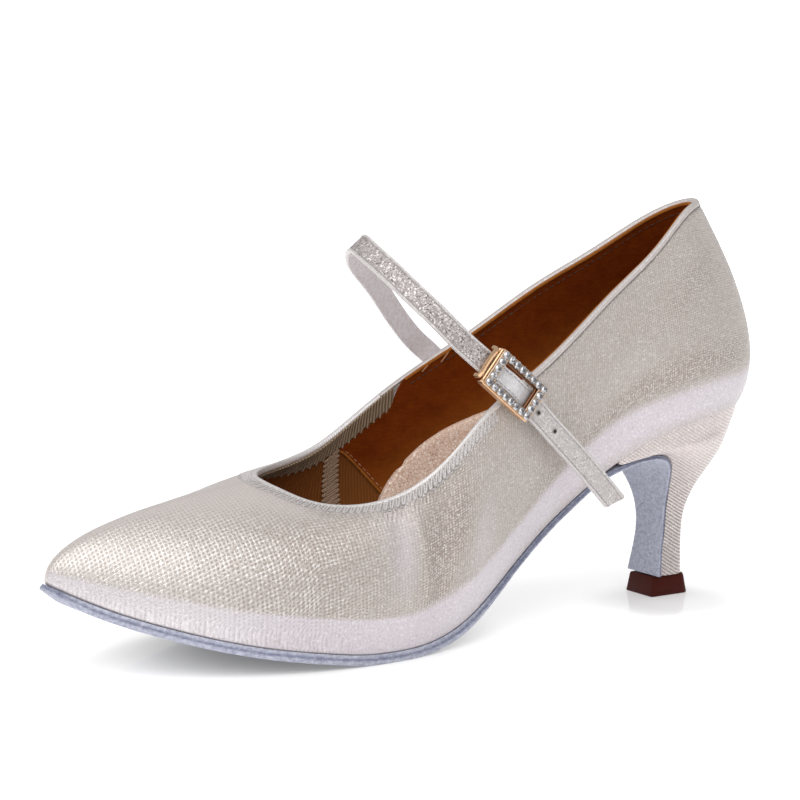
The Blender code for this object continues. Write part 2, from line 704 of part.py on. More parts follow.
def make_buckle_frame():
    """The buckle: a flat rim round its window, with skirts down its long sides beside the strap."""
    outer = rounded_rectangle(BUCKLE_LENGTH, BUCKLE_WIDTH, BUCKLE_CORNER)
    window_length = BUCKLE_LENGTH - 2 * BUCKLE_RIM_ENDS
    window_width = BUCKLE_WIDTH - 2 * BUCKLE_RIM_SIDES
    inner = rounded_rectangle(window_length, window_width, BUCKLE_CORNER / 3)
    skirt_length = BUCKLE_LENGTH - 2 * SKIRT_WALL
    skirt_width = BUCKLE_WIDTH - 2 * SKIRT_WALL
    skirt = rounded_rectangle(skirt_length, skirt_width, BUCKLE_CORNER / 2)
    low = plate_bottom()
    high = low + BUCKLE_PLATE
    on_side = np.abs(outer[:, 0]) < BUCKLE_LENGTH / 2 - BUCKLE_CORNER * 0.4
    drop = np.where(on_side, low - BUCKLE_SKIRT, low - GAP / 2)
    rows = [(inner, low), (inner, high), (outer, high), (outer, drop), (skirt, drop), (skirt, low)]
    loops = [np.column_stack([plan, np.broadcast_to(level, len(plan))]) for plan, level in rows]
    return lofted("buckle_frame", on_buckle(np.stack(loops, axis=1)), ROSE_GOLD, ring=True)


def make_buckle_keeper():
    """The curved bar over the strap at the buckle's upper end, with a leg down each side."""
    thick = KEEPER_THICKNESS
    place = -(BUCKLE_LENGTH / 2 + GAP + thick / 2)
    top = plate_bottom() + BUCKLE_PLATE - thick / 2
    foot = plate_bottom() - BUCKLE_SKIRT
    half = BUCKLE_WIDTH / 2 - thick
    bend = thick
    turns = np.linspace(0, pi / 2, 5)
    path = [(half, foot)]
    path += [(half - bend + bend * cos(turn), top - bend + bend * sin(turn)) for turn in turns]
    path += [(-across, level) for across, level in path[::-1]]
    path = np.array(path)
    bow = thick * (1 - (path[:, 0] / half) ** 2)
    tangent = unit(np.gradient(path, axis=0))
    out = np.column_stack([tangent[:, 1], -tangent[:, 0]])
    loops = []
    for away, side in ((-1, -1), (1, -1), (1, 1), (-1, 1)):
        shifted = path + out * away * thick / 2
        loops.append(np.column_stack([place - bow + side * thick / 2, shifted]))
    return lofted("buckle_keeper", on_buckle(np.stack(loops, axis=1)), ROSE_GOLD)


def stone_places():
    """Middles of the stones round the rim, evenly spaced along each of its four sides."""
    half_length = (BUCKLE_LENGTH - BUCKLE_RIM_ENDS) / 2
    half_width = (BUCKLE_WIDTH - BUCKLE_RIM_SIDES) / 2
    long_count = max(3, int(round(2 * half_length / STONE_PITCH)) + 1)
    short_count = max(2, int(round(2 * half_width / STONE_PITCH)) + 1)
    places = []
    for along in np.linspace(-half_length, half_length, long_count):
        places += [(along, half_width), (along, -half_width)]
    for across in np.linspace(-half_width, half_width, short_count)[1:-1]:
        places += [(half_length, across), (-half_length, across)]
    return places


def make_crystal_band():
    """The setting: a thin plate on the rim with a low cut stone at each place, joined to it."""
    low = plate_bottom() + BUCKLE_PLATE + GAP
    high = low + BAND_THICKNESS
    outer = rounded_rectangle(BUCKLE_LENGTH - 2 * BAND_INSET, BUCKLE_WIDTH - 2 * BAND_INSET, BUCKLE_CORNER)
    inner = rounded_rectangle(
        BUCKLE_LENGTH - 2 * BUCKLE_RIM_ENDS + 2 * BAND_INSET,
        BUCKLE_WIDTH - 2 * BUCKLE_RIM_SIDES + 2 * BAND_INSET,
        BUCKLE_CORNER / 3,
    )
    rows = [(inner, low), (inner, high), (outer, high), (outer, low)]
    loops = [np.column_stack([plan, np.full(len(plan), level)]) for plan, level in rows]
    band = lofted("crystal_band", on_buckle(np.stack(loops, axis=1)), CRYSTAL, ring=True)
    sides = 8
    turns = np.arange(sides) * 2 * pi / sides
    circle = np.column_stack([np.cos(turns), np.sin(turns)]) * STONE_SIZE / 2
    rings = ((1.0, low + BAND_THICKNESS / 2), (1.0, high + STONE_RISE / 4), (STONE_TABLE, high + STONE_RISE))
    points = []
    faces = []
    for along, across in stone_places():
        base = len(points)
        for scale, level in rings:
            for x, y in circle * scale:
                points.append((along + x, across + y, level))
        for row in range(len(rings) - 1):
            for side in range(sides):
                after = (side + 1) % sides
                near = base + row * sides
                faces.append((near + side, near + after, near + sides + after, near + sides + side))
        faces.append(tuple(base + side for side in range(sides))[::-1])
        faces.append(tuple(base + 2 * sides + side for side in range(sides)))
    stones = mesh_object("stones", on_buckle(np.array(points)), faces, *CRYSTAL)
    stones.hide_render = True
    stones.display_type = "WIRE"
    union = band.modifiers.new("Stones", "BOOLEAN")
    union.operation = "UNION"
    union.solver = "EXACT"
    union.object = stones
    return band


def main():
    """Clear the scene and build each piece of the shoe."""
    for old in list(bpy.data.objects):
        bpy.data.objects.remove(old, do_unlink=True)
    make_upper()
    topline_piece("collar_binding", COLLAR_ENDS[1] - len(RIBS), COLLAR_ENDS[0], TRIM)
    topline_piece("throat_elastic", COLLAR_ENDS[0], COLLAR_ENDS[1], TRIM)
    make_insole()
    make_outsole()
    make_heel()
    make_heel_tip()
    make_strap()
    make_buckle_frame()
    make_buckle_keeper()
    make_crystal_band()


main()
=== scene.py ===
"""Looks of a left ballroom dance shoe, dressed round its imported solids.

Metres, +Z up, +X to the toe, +Y to the outer side of the foot, origin under the heel tip on the floor.
The surfaces follow the same last as the solids: a feather edge and a topline joined by Bezier ribs, which are
counted from the back of the heel round the outer side to the toe at 14 and back along the inner side to 28.
"""

import logging
from dataclasses import dataclass, field
from enum import Enum
from math import pi, radians
from typing import NamedTuple

import bpy
import numpy as np
import numpy.typing as npt
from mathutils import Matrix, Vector


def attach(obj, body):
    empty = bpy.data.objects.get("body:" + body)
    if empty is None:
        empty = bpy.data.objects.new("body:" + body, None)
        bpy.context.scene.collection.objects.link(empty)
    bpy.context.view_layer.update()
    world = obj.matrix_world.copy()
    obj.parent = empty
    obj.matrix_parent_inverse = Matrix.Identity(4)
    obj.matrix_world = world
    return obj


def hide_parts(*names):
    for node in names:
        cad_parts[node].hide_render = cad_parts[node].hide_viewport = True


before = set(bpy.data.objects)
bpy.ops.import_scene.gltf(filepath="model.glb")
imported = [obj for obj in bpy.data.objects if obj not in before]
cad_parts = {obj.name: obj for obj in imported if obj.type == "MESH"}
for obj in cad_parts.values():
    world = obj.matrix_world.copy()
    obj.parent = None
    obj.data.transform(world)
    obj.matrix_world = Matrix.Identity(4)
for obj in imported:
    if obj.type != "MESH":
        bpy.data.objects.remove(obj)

Array = npt.NDArray[np.float64]
Colour = tuple[float, float, float, float]
LOG = logging.getLogger("dance_shoe")
MM = 0.001


class Slot(Enum):
    """Material slots of the record."""

    CLOTH = "metallic_fabric"
    HEEL = "heel_cover"
    TRIM = "silver_trim"
    STRAP = "strap_fabric"
    SOCK = "sock_fabric"
    SUEDE = "sole_suede"
    TIP = "tip_plastic"
    METAL = "rose_gold"
    STONE = "crystal"


class ProfileRow(NamedTuple):
    """Height of the feather edge: shares of the length, of the seat's rise and of the toe spring."""

    along: float
    seat: float
    toe: float


class Rib(NamedTuple):
    """One rib of the last: foot on the feather edge, top on the topline, and both Bezier handles' shares."""

    width: str
    along: float
    out: float
    top_along: float
    top_out: float
    top_height: float
    foot_out: float
    foot_up: float
    head_along: float
    head_out: float
    head_down: float


class HeelRow(NamedTuple):
    """One slice of the heel from its breast back: shares of the length, of the stem and of half the seat."""

    breast_along: float
    breast_height: float
    back_along: float
    back_height: float
    half: float
    flap: float


class StrapRow(NamedTuple):
    """A point of the strap, in shares of the length, of half the collar and of the quarter's height."""

    along: float
    out: float
    height: float
    on_wall: bool


class Crease(NamedTuple):
    """A soft trough or ridge on one side of the upper, from one place to another, in millimetres.

    The places are distances in front of the origin and below the topline. A height under zero is a trough.
    """

    side: int
    start_x: float
    start_below: float
    end_x: float
    end_below: float
    width: float
    height: float


class Patch(NamedTuple):
    """A soft patch of another tone on one side of the upper: its middle and half sizes in millimetres.

    The middle is a distance in front of the origin and one below the topline. A strength over zero darkens:
    stretched mesh in some patches, painted shade in others. One under zero is smooth and pale, with painted
    sheen.
    """

    side: int
    x: float
    below: float
    reach_x: float
    reach_below: float
    strength: float


PROFILE = (
    ProfileRow(0.000, 1.000, 0.000),
    ProfileRow(0.053, 0.990, 0.000),
    ProfileRow(0.097, 0.974, 0.000),
    ProfileRow(0.142, 0.940, 0.000),
    ProfileRow(0.200, 0.872, 0.000),
    ProfileRow(0.266, 0.738, 0.000),
    ProfileRow(0.311, 0.615, 0.000),
    ProfileRow(0.366, 0.457, 0.000),
    ProfileRow(0.413, 0.310, 0.000),
    ProfileRow(0.469, 0.152, 0.000),
    ProfileRow(0.507, 0.072, 0.000),
    ProfileRow(0.547, 0.022, 0.000),
    ProfileRow(0.583, 0.003, 0.000),
    ProfileRow(0.615, 0.000, 0.000),
    ProfileRow(0.659, 0.000, 0.016),
    ProfileRow(0.705, 0.000, 0.078),
    ProfileRow(0.779, 0.000, 0.205),
    ProfileRow(0.834, 0.000, 0.335),
    ProfileRow(0.885, 0.000, 0.490),
    ProfileRow(0.935, 0.000, 0.675),
    ProfileRow(0.970, 0.000, 0.840),
    ProfileRow(1.005, 0.000, 1.030),
)

RIBS = (
    # Back, then the outer side up to the toe
    Rib("seat", 0.019, 0.000, 0.074, 0.000, 0.992, 0.35, 0.25, -0.050, 0.00, 0.30),
    Rib("seat", 0.039, 0.567, 0.087, 0.201, 0.993, 0.31, 0.25, -0.036, 0.13, 0.29),
    Rib("seat", 0.097, 0.937, 0.126, 0.380, 0.976, 0.22, 0.25, -0.011, 0.18, 0.28),
    Rib("seat", 0.166, 1.000, 0.188, 0.523, 0.871, 0.17, 0.26, -0.004, 0.19, 0.30),
    Rib("seat", 0.246, 0.920, 0.262, 0.655, 0.832, 0.17, 0.26, 0.000, 0.14, 0.29),
    Rib("waist", 0.326, 1.000, 0.338, 0.795, 0.841, 0.22, 0.27, 0.000, 0.11, 0.27),
    Rib("waist", 0.413, 1.122, 0.413, 0.921, 0.887, 0.25, 0.28, 0.000, 0.07, 0.26),
    Rib("ball", 0.486, 0.798, 0.480, 0.994, 0.918, 0.28, 0.30, 0.004, 0.07, 0.26),
    Rib("ball", 0.555, 0.927, 0.535, 0.985, 0.819, 0.25, 0.30, 0.012, 0.14, 0.21),
    Rib("ball", 0.619, 1.000, 0.587, 0.889, 0.701, 0.20, 0.30, 0.024, 0.25, 0.14),
    Rib("ball", 0.711, 0.972, 0.639, 0.725, 0.639, 0.17, 0.29, 0.048, 0.31, 0.08),
    Rib("ball", 0.807, 0.787, 0.679, 0.483, 0.631, 0.13, 0.25, 0.080, 0.33, 0.04),
    Rib("ball", 0.895, 0.483, 0.701, 0.246, 0.658, 0.08, 0.23, 0.116, 0.26, 0.04),
    Rib("ball", 0.964, 0.191, 0.711, 0.094, 0.679, 0.04, 0.22, 0.138, 0.12, 0.06),
    # Toe, then the inner side back to the heel
    Rib("ball", 0.996, -0.034, 0.714, 0.000, 0.690, 0.02, 0.21, 0.146, 0.00, 0.06),
    Rib("ball", 0.968, -0.233, 0.711, -0.094, 0.693, 0.04, 0.22, 0.138, -0.12, 0.06),
    Rib("ball", 0.903, -0.534, 0.700, -0.250, 0.690, 0.08, 0.23, 0.116, -0.26, 0.05),
    Rib("ball", 0.819, -0.823, 0.680, -0.483, 0.697, 0.13, 0.25, 0.080, -0.33, 0.05),
    Rib("ball", 0.727, -0.964, 0.643, -0.719, 0.708, 0.17, 0.29, 0.048, -0.31, 0.08),
    Rib("ball", 0.635, -0.949, 0.595, -0.871, 0.728, 0.20, 0.30, 0.024, -0.25, 0.14),
    Rib("ball", 0.563, -0.831, 0.543, -0.974, 0.764, 0.27, 0.30, 0.012, -0.14, 0.21),
    Rib("ball", 0.490, -0.663, 0.480, -0.994, 0.817, 0.34, 0.28, 0.004, -0.06, 0.24),
    Rib("waist", 0.414, -0.937, 0.414, -0.921, 0.816, 0.36, 0.27, 0.000, -0.05, 0.24),
    Rib("waist", 0.334, -0.893, 0.340, -0.801, 0.782, 0.30, 0.26, 0.000, -0.09, 0.25),
    Rib("seat", 0.250, -0.853, 0.262, -0.658, 0.787, 0.22, 0.26, 0.000, -0.13, 0.27),
    Rib("seat", 0.166, -0.983, 0.188, -0.521, 0.817, 0.17, 0.26, -0.004, -0.18, 0.29),
    Rib("seat", 0.097, -0.924, 0.124, -0.380, 0.905, 0.22, 0.25, -0.011, -0.18, 0.28),
    Rib("seat", 0.039, -0.567, 0.085, -0.201, 0.969, 0.31, 0.25, -0.036, -0.13, 0.29),
)

HEEL = (
    HeelRow(0.2410, 0.736, 0.027, 0.942, 0.916, 0.925),
    HeelRow(0.2180, 0.758, 0.036, 0.885, 0.916, 0.920),
    HeelRow(0.1980, 0.764, 0.045, 0.823, 0.900, 0.905),
    HeelRow(0.1780, 0.753, 0.055, 0.751, 0.850, 0.862),
    HeelRow(0.1620, 0.718, 0.064, 0.681, 0.760, 0.778),
    HeelRow(0.1490, 0.662, 0.073, 0.608, 0.635, 0.655),
    HeelRow(0.1400, 0.585, 0.080, 0.536, 0.495, 0.520),
    HeelRow(0.1343, 0.494, 0.086, 0.455, 0.375, 0.400),
    HeelRow(0.1315, 0.386, 0.091, 0.368, 0.290, 0.315),
    HeelRow(0.1315, 0.260, 0.094, 0.251, 0.262, 0.290),
    HeelRow(0.1355, 0.134, 0.094, 0.128, 0.260, 0.300),
    HeelRow(0.1403, 0.000, 0.093, 0.000, 0.262, 0.322),
)

STRAP = (
    StrapRow(0.338, -0.93, 0.500, True),
    StrapRow(0.362, -0.93, 0.630, True),
    StrapRow(0.390, -0.93, 0.802, True),
    StrapRow(0.418, -0.90, 0.960, False),
    StrapRow(0.452, -0.84, 1.176, False),
    StrapRow(0.484, -0.74, 1.372, False),
    StrapRow(0.518, -0.59, 1.530, False),
    StrapRow(0.553, -0.35, 1.655, False),
    StrapRow(0.581, 0.00, 1.742, False),
    StrapRow(0.587, 0.24, 1.722, False),
    StrapRow(0.580, 0.50, 1.645, False),
    StrapRow(0.566, 0.72, 1.545, False),
    StrapRow(0.547, 0.88, 1.437, False),
    StrapRow(0.524, 0.99, 1.310, False),
    StrapRow(0.499, 1.05, 1.185, False),
    StrapRow(0.459, 1.07, 0.980, False),
    StrapRow(0.429, 1.07, 0.800, False),
    StrapRow(0.390, 1.07, 0.545, False),
    StrapRow(0.347, 1.06, 0.270, False),
    StrapRow(0.303, 1.05, -0.015, False),
)

MESH_TONE_AND_PAINTED_LIGHT = (
    # Outer side: stretched mesh in the bend, with a pale fold of painted sheen on each side of it
    Patch(1, 111.5, 27.0, 5.0, 17.0, 0.95),
    Patch(1, 102.5, 22.0, 4.5, 12.0, 0.75),
    Patch(1, 122.5, 20.0, 6.0, 14.0, -0.65),
    Patch(1, 94.0, 36.0, 6.0, 12.0, -0.45),
    # Painted shadow of the strap on the quarter
    Patch(1, 60.0, 22.0, 9.0, 9.0, 0.30),
    # Painted shade under the heel's top, and painted light beside it
    Patch(1, 3.0, 20.0, 15.0, 4.5, 0.40),
    Patch(1, 30.0, 27.0, 14.0, 6.0, -0.22),
    Patch(1, 150.0, 18.0, 16.0, 12.0, 0.28),
    # Inner side, which bends the same way, with pale folds of painted sheen
    Patch(-1, 111.0, 26.0, 5.0, 15.0, 0.80),
    Patch(-1, 122.0, 22.0, 6.0, 18.0, -0.60),
    Patch(-1, 96.0, 32.0, 6.0, 12.0, -0.40),
    Patch(-1, 150.0, 18.0, 16.0, 12.0, 0.25),
)

CREASES = (
    # Below the elastic on the outer side, where the foot's ball bends it
    Crease(1, 121.5, 4.0, 125.0, 30.0, 3.4, -0.55),
    Crease(1, 117.5, 5.0, 114.5, 40.0, 1.7, 0.50),
    Crease(1, 108.0, 6.0, 110.0, 47.0, 5.2, -1.05),
    Crease(1, 93.5, 16.0, 97.0, 56.0, 4.6, 0.40),
    Crease(1, 86.0, 22.0, 78.0, 52.0, 6.0, -0.35),
    # Fine wrinkles behind the strap's tail, and soft hollows over the counter
    Crease(1, 68.5, 8.0, 56.0, 31.0, 1.2, 0.20),
    Crease(1, 64.5, 6.0, 52.0, 28.0, 1.2, -0.20),
    Crease(1, 60.5, 6.0, 49.0, 25.0, 1.3, 0.16),
    Crease(1, 36.0, 14.0, 8.0, 20.0, 9.0, -0.35),
    Crease(1, 42.0, 34.0, 14.0, 46.0, 8.0, -0.30),
    # The inner side, which bends at the same place
    Crease(-1, 124.0, 5.0, 127.0, 32.0, 3.2, -0.45),
    Crease(-1, 117.5, 6.0, 116.0, 42.0, 2.0, 0.40),
    Crease(-1, 108.5, 7.0, 108.0, 46.0, 4.6, -0.75),
    Crease(-1, 94.0, 14.0, 96.0, 50.0, 4.4, 0.35),
    Crease(-1, 40.0, 14.0, 12.0, 22.0, 9.0, -0.30),
)


def column(rows: tuple, name: str) -> Array:
    """One named column of a table."""
    return np.array([getattr(row, name) for row in rows], float)


def unit(vectors: Array) -> Array:
    """Vectors scaled to length one along the last axis."""
    return vectors / np.maximum(np.linalg.norm(vectors, axis=-1, keepdims=True), 1e-12)


def smooth_step(low: float, high: float, values: Array) -> Array:
    """Rises from 0 at low to 1 at high as 3 t squared less 2 t cubed, and falls when low is over high."""
    share = np.clip((values - low) / (high - low), 0.0, 1.0)
    return share * share * (3 - 2 * share)


def spline(knots: Array, values: Array, at: Array) -> Array:
    """Natural cubic spline through rows of values.

    Args:
        knots: Rising places of the rows.
        values: One row of values for each knot.
        at: Places to read.

    Returns:
        One row for each place: on each span a cubic with equal slope and bend at the knots.
    """
    knots = np.asarray(knots, float)
    values = np.asarray(values, float)
    at = np.asarray(at, float)
    steps = np.diff(knots)
    slopes = np.diff(values, axis=0) / steps[:, None]
    count = len(knots)
    inner = np.arange(1, count - 1)
    matrix = np.eye(count)
    matrix[inner, inner - 1] = steps[:-1]
    matrix[inner, inner] = 2 * (steps[:-1] + steps[1:])
    matrix[inner, inner + 1] = steps[1:]
    right = np.zeros_like(values)
    right[1:-1] = 6 * np.diff(slopes, axis=0)
    bends = np.linalg.solve(matrix, right)
    span = np.clip(np.searchsorted(knots, at, side="right") - 1, 0, count - 2)
    step = steps[span][:, None]
    before = (at - knots[span])[:, None]
    after = (knots[span + 1] - at)[:, None]
    return (
        bends[span] * after**3 / (6 * step)
        + bends[span + 1] * before**3 / (6 * step)
        + (values[span] / step - bends[span] * step / 6) * after
        + (values[span + 1] / step - bends[span + 1] * step / 6) * before
    )


def ring_spline(values: Array, at: Array) -> Array:
    """The same curve through rows that close on themselves, one apart."""
    values = np.asarray(values, float)
    count = len(values)
    wrap = 6
    rows = np.arange(-wrap, count + wrap)
    return spline(rows, values[rows % count], np.mod(at, count))


def run_length(points: Array) -> Array:
    """Distance along a path from its start, one for each point of the next to last axis."""
    steps = np.linalg.norm(np.diff(points, axis=-2), axis=-1)
    start = np.zeros(steps.shape[:-1] + (1,))
    return np.concatenate([start, np.cumsum(steps, axis=-1)], axis=-1)


def blended(table: Array, row: Array, column: Array) -> Array:
    """Values between a table's entries, each the blend of the four nearest.

    Args:
        table: Values of shape (rows, columns), or with one more axis.
        row: Places down the table.
        column: Places across it.

    Returns:
        The values, with the table's last axis if it has one.
    """
    low_row = np.clip(np.floor(row).astype(int), 0, table.shape[0] - 2)
    low_column = np.clip(np.floor(column).astype(int), 0, table.shape[1] - 2)
    last_axis = (...,) + (None,) * (table.ndim - 2)
    right = (row - low_row)[last_axis]
    down = (column - low_column)[last_axis]
    return (
        table[low_row, low_column] * (1 - right) * (1 - down)
        + table[low_row + 1, low_column] * right * (1 - down)
        + table[low_row, low_column + 1] * (1 - right) * down
        + table[low_row + 1, low_column + 1] * right * down
    )


def spread(values: Array, shape: tuple[int, int]) -> Array:
    """A mask of the given shape from values that are even along its rows or columns."""
    return np.broadcast_to(values, shape).copy()


def ripple(first: Array, second: Array, pitch: float) -> Array:
    """Soft unevenness between -1 and 1: a product of sines of both coordinates at four unrelated pitches."""
    total = np.zeros(np.broadcast(first, second).shape)
    for turn, (grow, shift) in enumerate(((1.0, 0.3), (1.73, 1.9), (2.91, 4.1), (4.37, 2.7))):
        wave = 2 * pi * grow / pitch
        mixed = first * np.cos(1.1 * turn + 0.4) + second * np.sin(1.1 * turn + 0.4)
        across = second * np.cos(0.7 * turn) - first * np.sin(0.7 * turn)
        total += np.sin(wave * mixed + shift) * np.sin(wave * 0.83 * across + 2 * shift) / (1 + 0.6 * turn)
    return total / 2.2


@dataclass(frozen=True)
class Last:
    """The last that the shoe is built on, with the sizes that the solids have."""

    length: float = 0.2494
    heel_to_back: float = 0.0302
    seat_width: float = 0.0476
    waist_width: float = 0.0410
    ball_width: float = 0.0712
    collar_width: float = 0.0684
    seat_height: float = 0.0620
    toe_spring: float = 0.0249
    quarter_height: float = 0.0662
    wall: float = 0.0018
    ball_top: float = 0.00315
    gap: float = 0.0003
    ribs: int = 28

    def place_along(self, share: Array | float) -> Array:
        """Distance in front of the origin for a share of the length."""
        return self.length * np.asarray(share, float) - self.heel_to_back

    def feather_height(self, x: Array) -> Array:
        """Height of the feather edge at the distance x: a spline through the profile's rows."""
        x = np.asarray(x, float)
        share = np.clip((x + self.heel_to_back) / self.length, 0.0, PROFILE[-1].along)
        rows = np.column_stack([column(PROFILE, "seat"), column(PROFILE, "toe")])
        seat, toe = spline(column(PROFILE, "along"), rows, share.ravel()).T
        height = self.ball_top + (self.seat_height - self.ball_top) * seat + self.toe_spring * toe
        return height.reshape(share.shape)

    def outline(self, at: Array) -> tuple[Array, Array]:
        """Feather edge from above and its outward directions at places counted in ribs."""
        widths = {"seat": self.seat_width, "waist": self.waist_width, "ball": self.ball_width}
        points = np.array([(self.place_along(rib.along), rib.out * widths[rib.width] / 2) for rib in RIBS])
        step = 0.01
        tangent = unit(ring_spline(points, at + step) - ring_spline(points, at - step))
        return ring_spline(points, at), np.stack([-tangent[:, 1], tangent[:, 0]], axis=1)

    def curves(self, at: Array, fine: int = 241) -> Array:
        """Rib curves of the outer wall.

        Args:
            at: Places counted in ribs.
            fine: Points on each curve.

        Returns:
            Points from the feather edge to the topline on cubic Bezier curves, whose ends and handles are
            periodic splines through the table's rows.
        """
        plan, outward = self.outline(at)
        foot = np.column_stack([plan, self.feather_height(plan[:, 0])])
        top_x = self.place_along(column(RIBS, "top_along"))
        rows = np.column_stack(
            [
                top_x,
                column(RIBS, "top_out") * self.collar_width / 2,
                self.feather_height(top_x) + column(RIBS, "top_height") * self.quarter_height,
                column(RIBS, "foot_out") * self.ball_width / 2,
                column(RIBS, "foot_up") * self.quarter_height,
                column(RIBS, "head_along") * self.length,
                column(RIBS, "head_out") * self.ball_width / 2,
                -column(RIBS, "head_down") * self.quarter_height,
            ]
        )
        read = ring_spline(rows, at)
        head = read[:, 0:3]
        foot_handle = foot + np.column_stack([outward * read[:, 3:4], read[:, 4]])
        head_handle = head + read[:, 5:8]
        s = np.linspace(0.0, 1.0, fine)[None, :, None]
        return (
            (1 - s) ** 3 * foot[:, None]
            + 3 * (1 - s) ** 2 * s * foot_handle[:, None]
            + 3 * (1 - s) * s**2 * head_handle[:, None]
            + s**3 * head[:, None]
        )

    def wall_points(self, at: Array, below: Array) -> Array:
        """Points of the outer wall.

        Args:
            at: Places counted in ribs, one for each row.
            below: Distances below the topline along the wall, a row for each place.

        Returns:
            Points of shape (places, distances, 3), read off the rib curves by their run length.
        """
        curves = self.curves(at)
        runs = run_length(curves)
        span = runs.max() + 1.0
        offset = np.arange(len(at))[:, None] * span
        wanted = np.clip(runs[:, -1:] - below, 0.0, runs[:, -1:]) + offset
        flat = (runs + offset).ravel()
        axes = [np.interp(wanted.ravel(), flat, curves[..., axis].ravel()) for axis in range(3)]
        return np.stack(axes, axis=-1).reshape(below.shape + (3,))

    def top_run(self, at: Array) -> Array:
        """Distance along the topline from the back of the heel at each place."""
        fine = np.linspace(0, self.ribs, 2241)
        edge = self.curves(fine, 2)[:, -1]
        whole = np.floor(at / self.ribs)
        run = run_length(edge)
        return np.interp(at - whole * self.ribs, fine, run) + whole * run[-1]

    def side_widths(self, x: Array, offset: float) -> tuple[Array, Array]:
        """Outer and inner edge of the feather outline, moved outwards by offset, at each distance x."""
        half = self.ribs / 2
        fine = 1600
        toe_y = self.outline(np.array([half]))[0][0, 1]
        edges = []
        for places in (np.linspace(0, half, fine), np.linspace(self.ribs, half, fine)):
            plan, outward = self.outline(places)
            edge = plan + offset * outward
            edge[0, 1] = 0.0
            edge[-1, 1] = toe_y
            edges.append(np.interp(x, np.maximum.accumulate(edge[:, 0]), edge[:, 1]))
        return edges[0], edges[1]

    def reach(self, offset: float) -> tuple[float, float]:
        """Distances of the outline's back and toe when it is moved outwards by offset."""
        ends, outward = self.outline(np.array([0.0, self.ribs / 2]))
        moved = (ends + offset * outward)[:, 0]
        return float(moved[0]), float(moved[1])


@dataclass
class Skin:
    """The outer wall as a fine table, read at any place round the shoe and any distance below the topline."""

    last: Last
    rows: int = 1400
    columns: int = 181
    places: Array = field(init=False)
    lengths: Array = field(init=False)
    table: Array = field(init=False)

    def __post_init__(self) -> None:
        """Fills the table with points and normals at even shares of each rib, from the topline down."""
        self.places = np.linspace(0, self.last.ribs, self.rows + 1)
        curves = self.last.curves(self.places)
        runs = run_length(curves)
        self.lengths = runs[:, -1]
        share = np.linspace(0, 1, self.columns)
        below = self.lengths[:, None] * share[None, :]
        points = self.last.wall_points(self.places, below)
        wrapped = np.concatenate([points[-3:-1], points, points[1:3]])
        along = np.gradient(wrapped, axis=0)[2:-2]
        down = np.gradient(points, axis=1)
        normals = unit(np.cross(along, down))
        outward = points[..., 1:2] * normals[..., 1:2]
        if outward.sum() < 0:
            normals = -normals
        self.table = np.concatenate([points, normals], axis=-1)

    def length_at(self, at: Array) -> Array:
        """Length of the wall from the topline to the feather edge."""
        return np.interp(np.mod(at, self.last.ribs), self.places, self.lengths)

    def read(self, at: Array, below: Array) -> tuple[Array, Array]:
        """Points and outward directions of the wall.

        Args:
            at: Places counted in ribs, of any shape.
            below: Distances below the topline, of the same shape.

        Returns:
            Points and unit normals, blended between the four nearest entries of the table.
        """
        at, below = np.broadcast_arrays(np.asarray(at, float), np.asarray(below, float))
        row = np.mod(at, self.last.ribs) / self.last.ribs * self.rows
        share = below / self.length_at(at)
        column = np.clip(share, 0, 1) * (self.columns - 1)
        read = blended(self.table, row, column)
        return read[..., :3], unit(read[..., 3:])

    def lift(self, at: Array, below: Array, out: Array | float) -> Array:
        """Points of the wall moved out of it along its normals."""
        points, normals = self.read(at, below)
        return points + normals * np.broadcast_to(out, points.shape[:-1])[..., None]


def faces_of(rows: int, columns: int, ring_rows: bool, ring_columns: bool) -> tuple[Array, Array]:
    """Rows and columns of the four corners of each face of a grid, without wrapping them.

    Args:
        rows: Points down the grid.
        columns: Points across it.
        ring_rows: Whether the last row joins the first.
        ring_columns: Whether the last column joins the first.

    Returns:
        Two arrays of shape (faces, 4).
    """
    row, column = np.meshgrid(
        np.arange(rows if ring_rows else rows - 1),
        np.arange(columns if ring_columns else columns - 1),
        indexing="ij",
    )
    row, column = row.ravel(), column.ravel()
    return (
        np.stack([row, row, row + 1, row + 1], axis=1),
        np.stack([column, column + 1, column + 1, column], axis=1),
    )


@dataclass
class Shell:
    """Points and faces of one piece, with the maps and masks that its finish reads.

    faces is (count, 4), maps hold one pair for each face corner, and masks one value for each point.
    """

    points: Array
    faces: Array
    maps: dict[str, Array] = field(default_factory=dict)
    masks: dict[str, Array] = field(default_factory=dict)

    def turned_out(self) -> "Shell":
        """The shell with its faces outwards: all are turned if the signed volume they enclose is negative."""
        corner = self.points[self.faces]
        first = np.cross(corner[:, 1], corner[:, 2])
        second = np.cross(corner[:, 2], corner[:, 3])
        volume = (corner[:, 0] * (first + second)).sum()
        if volume < 0:
            self.faces = self.faces[:, ::-1]
            self.maps = {name: values[:, ::-1] for name, values in self.maps.items()}
        return self


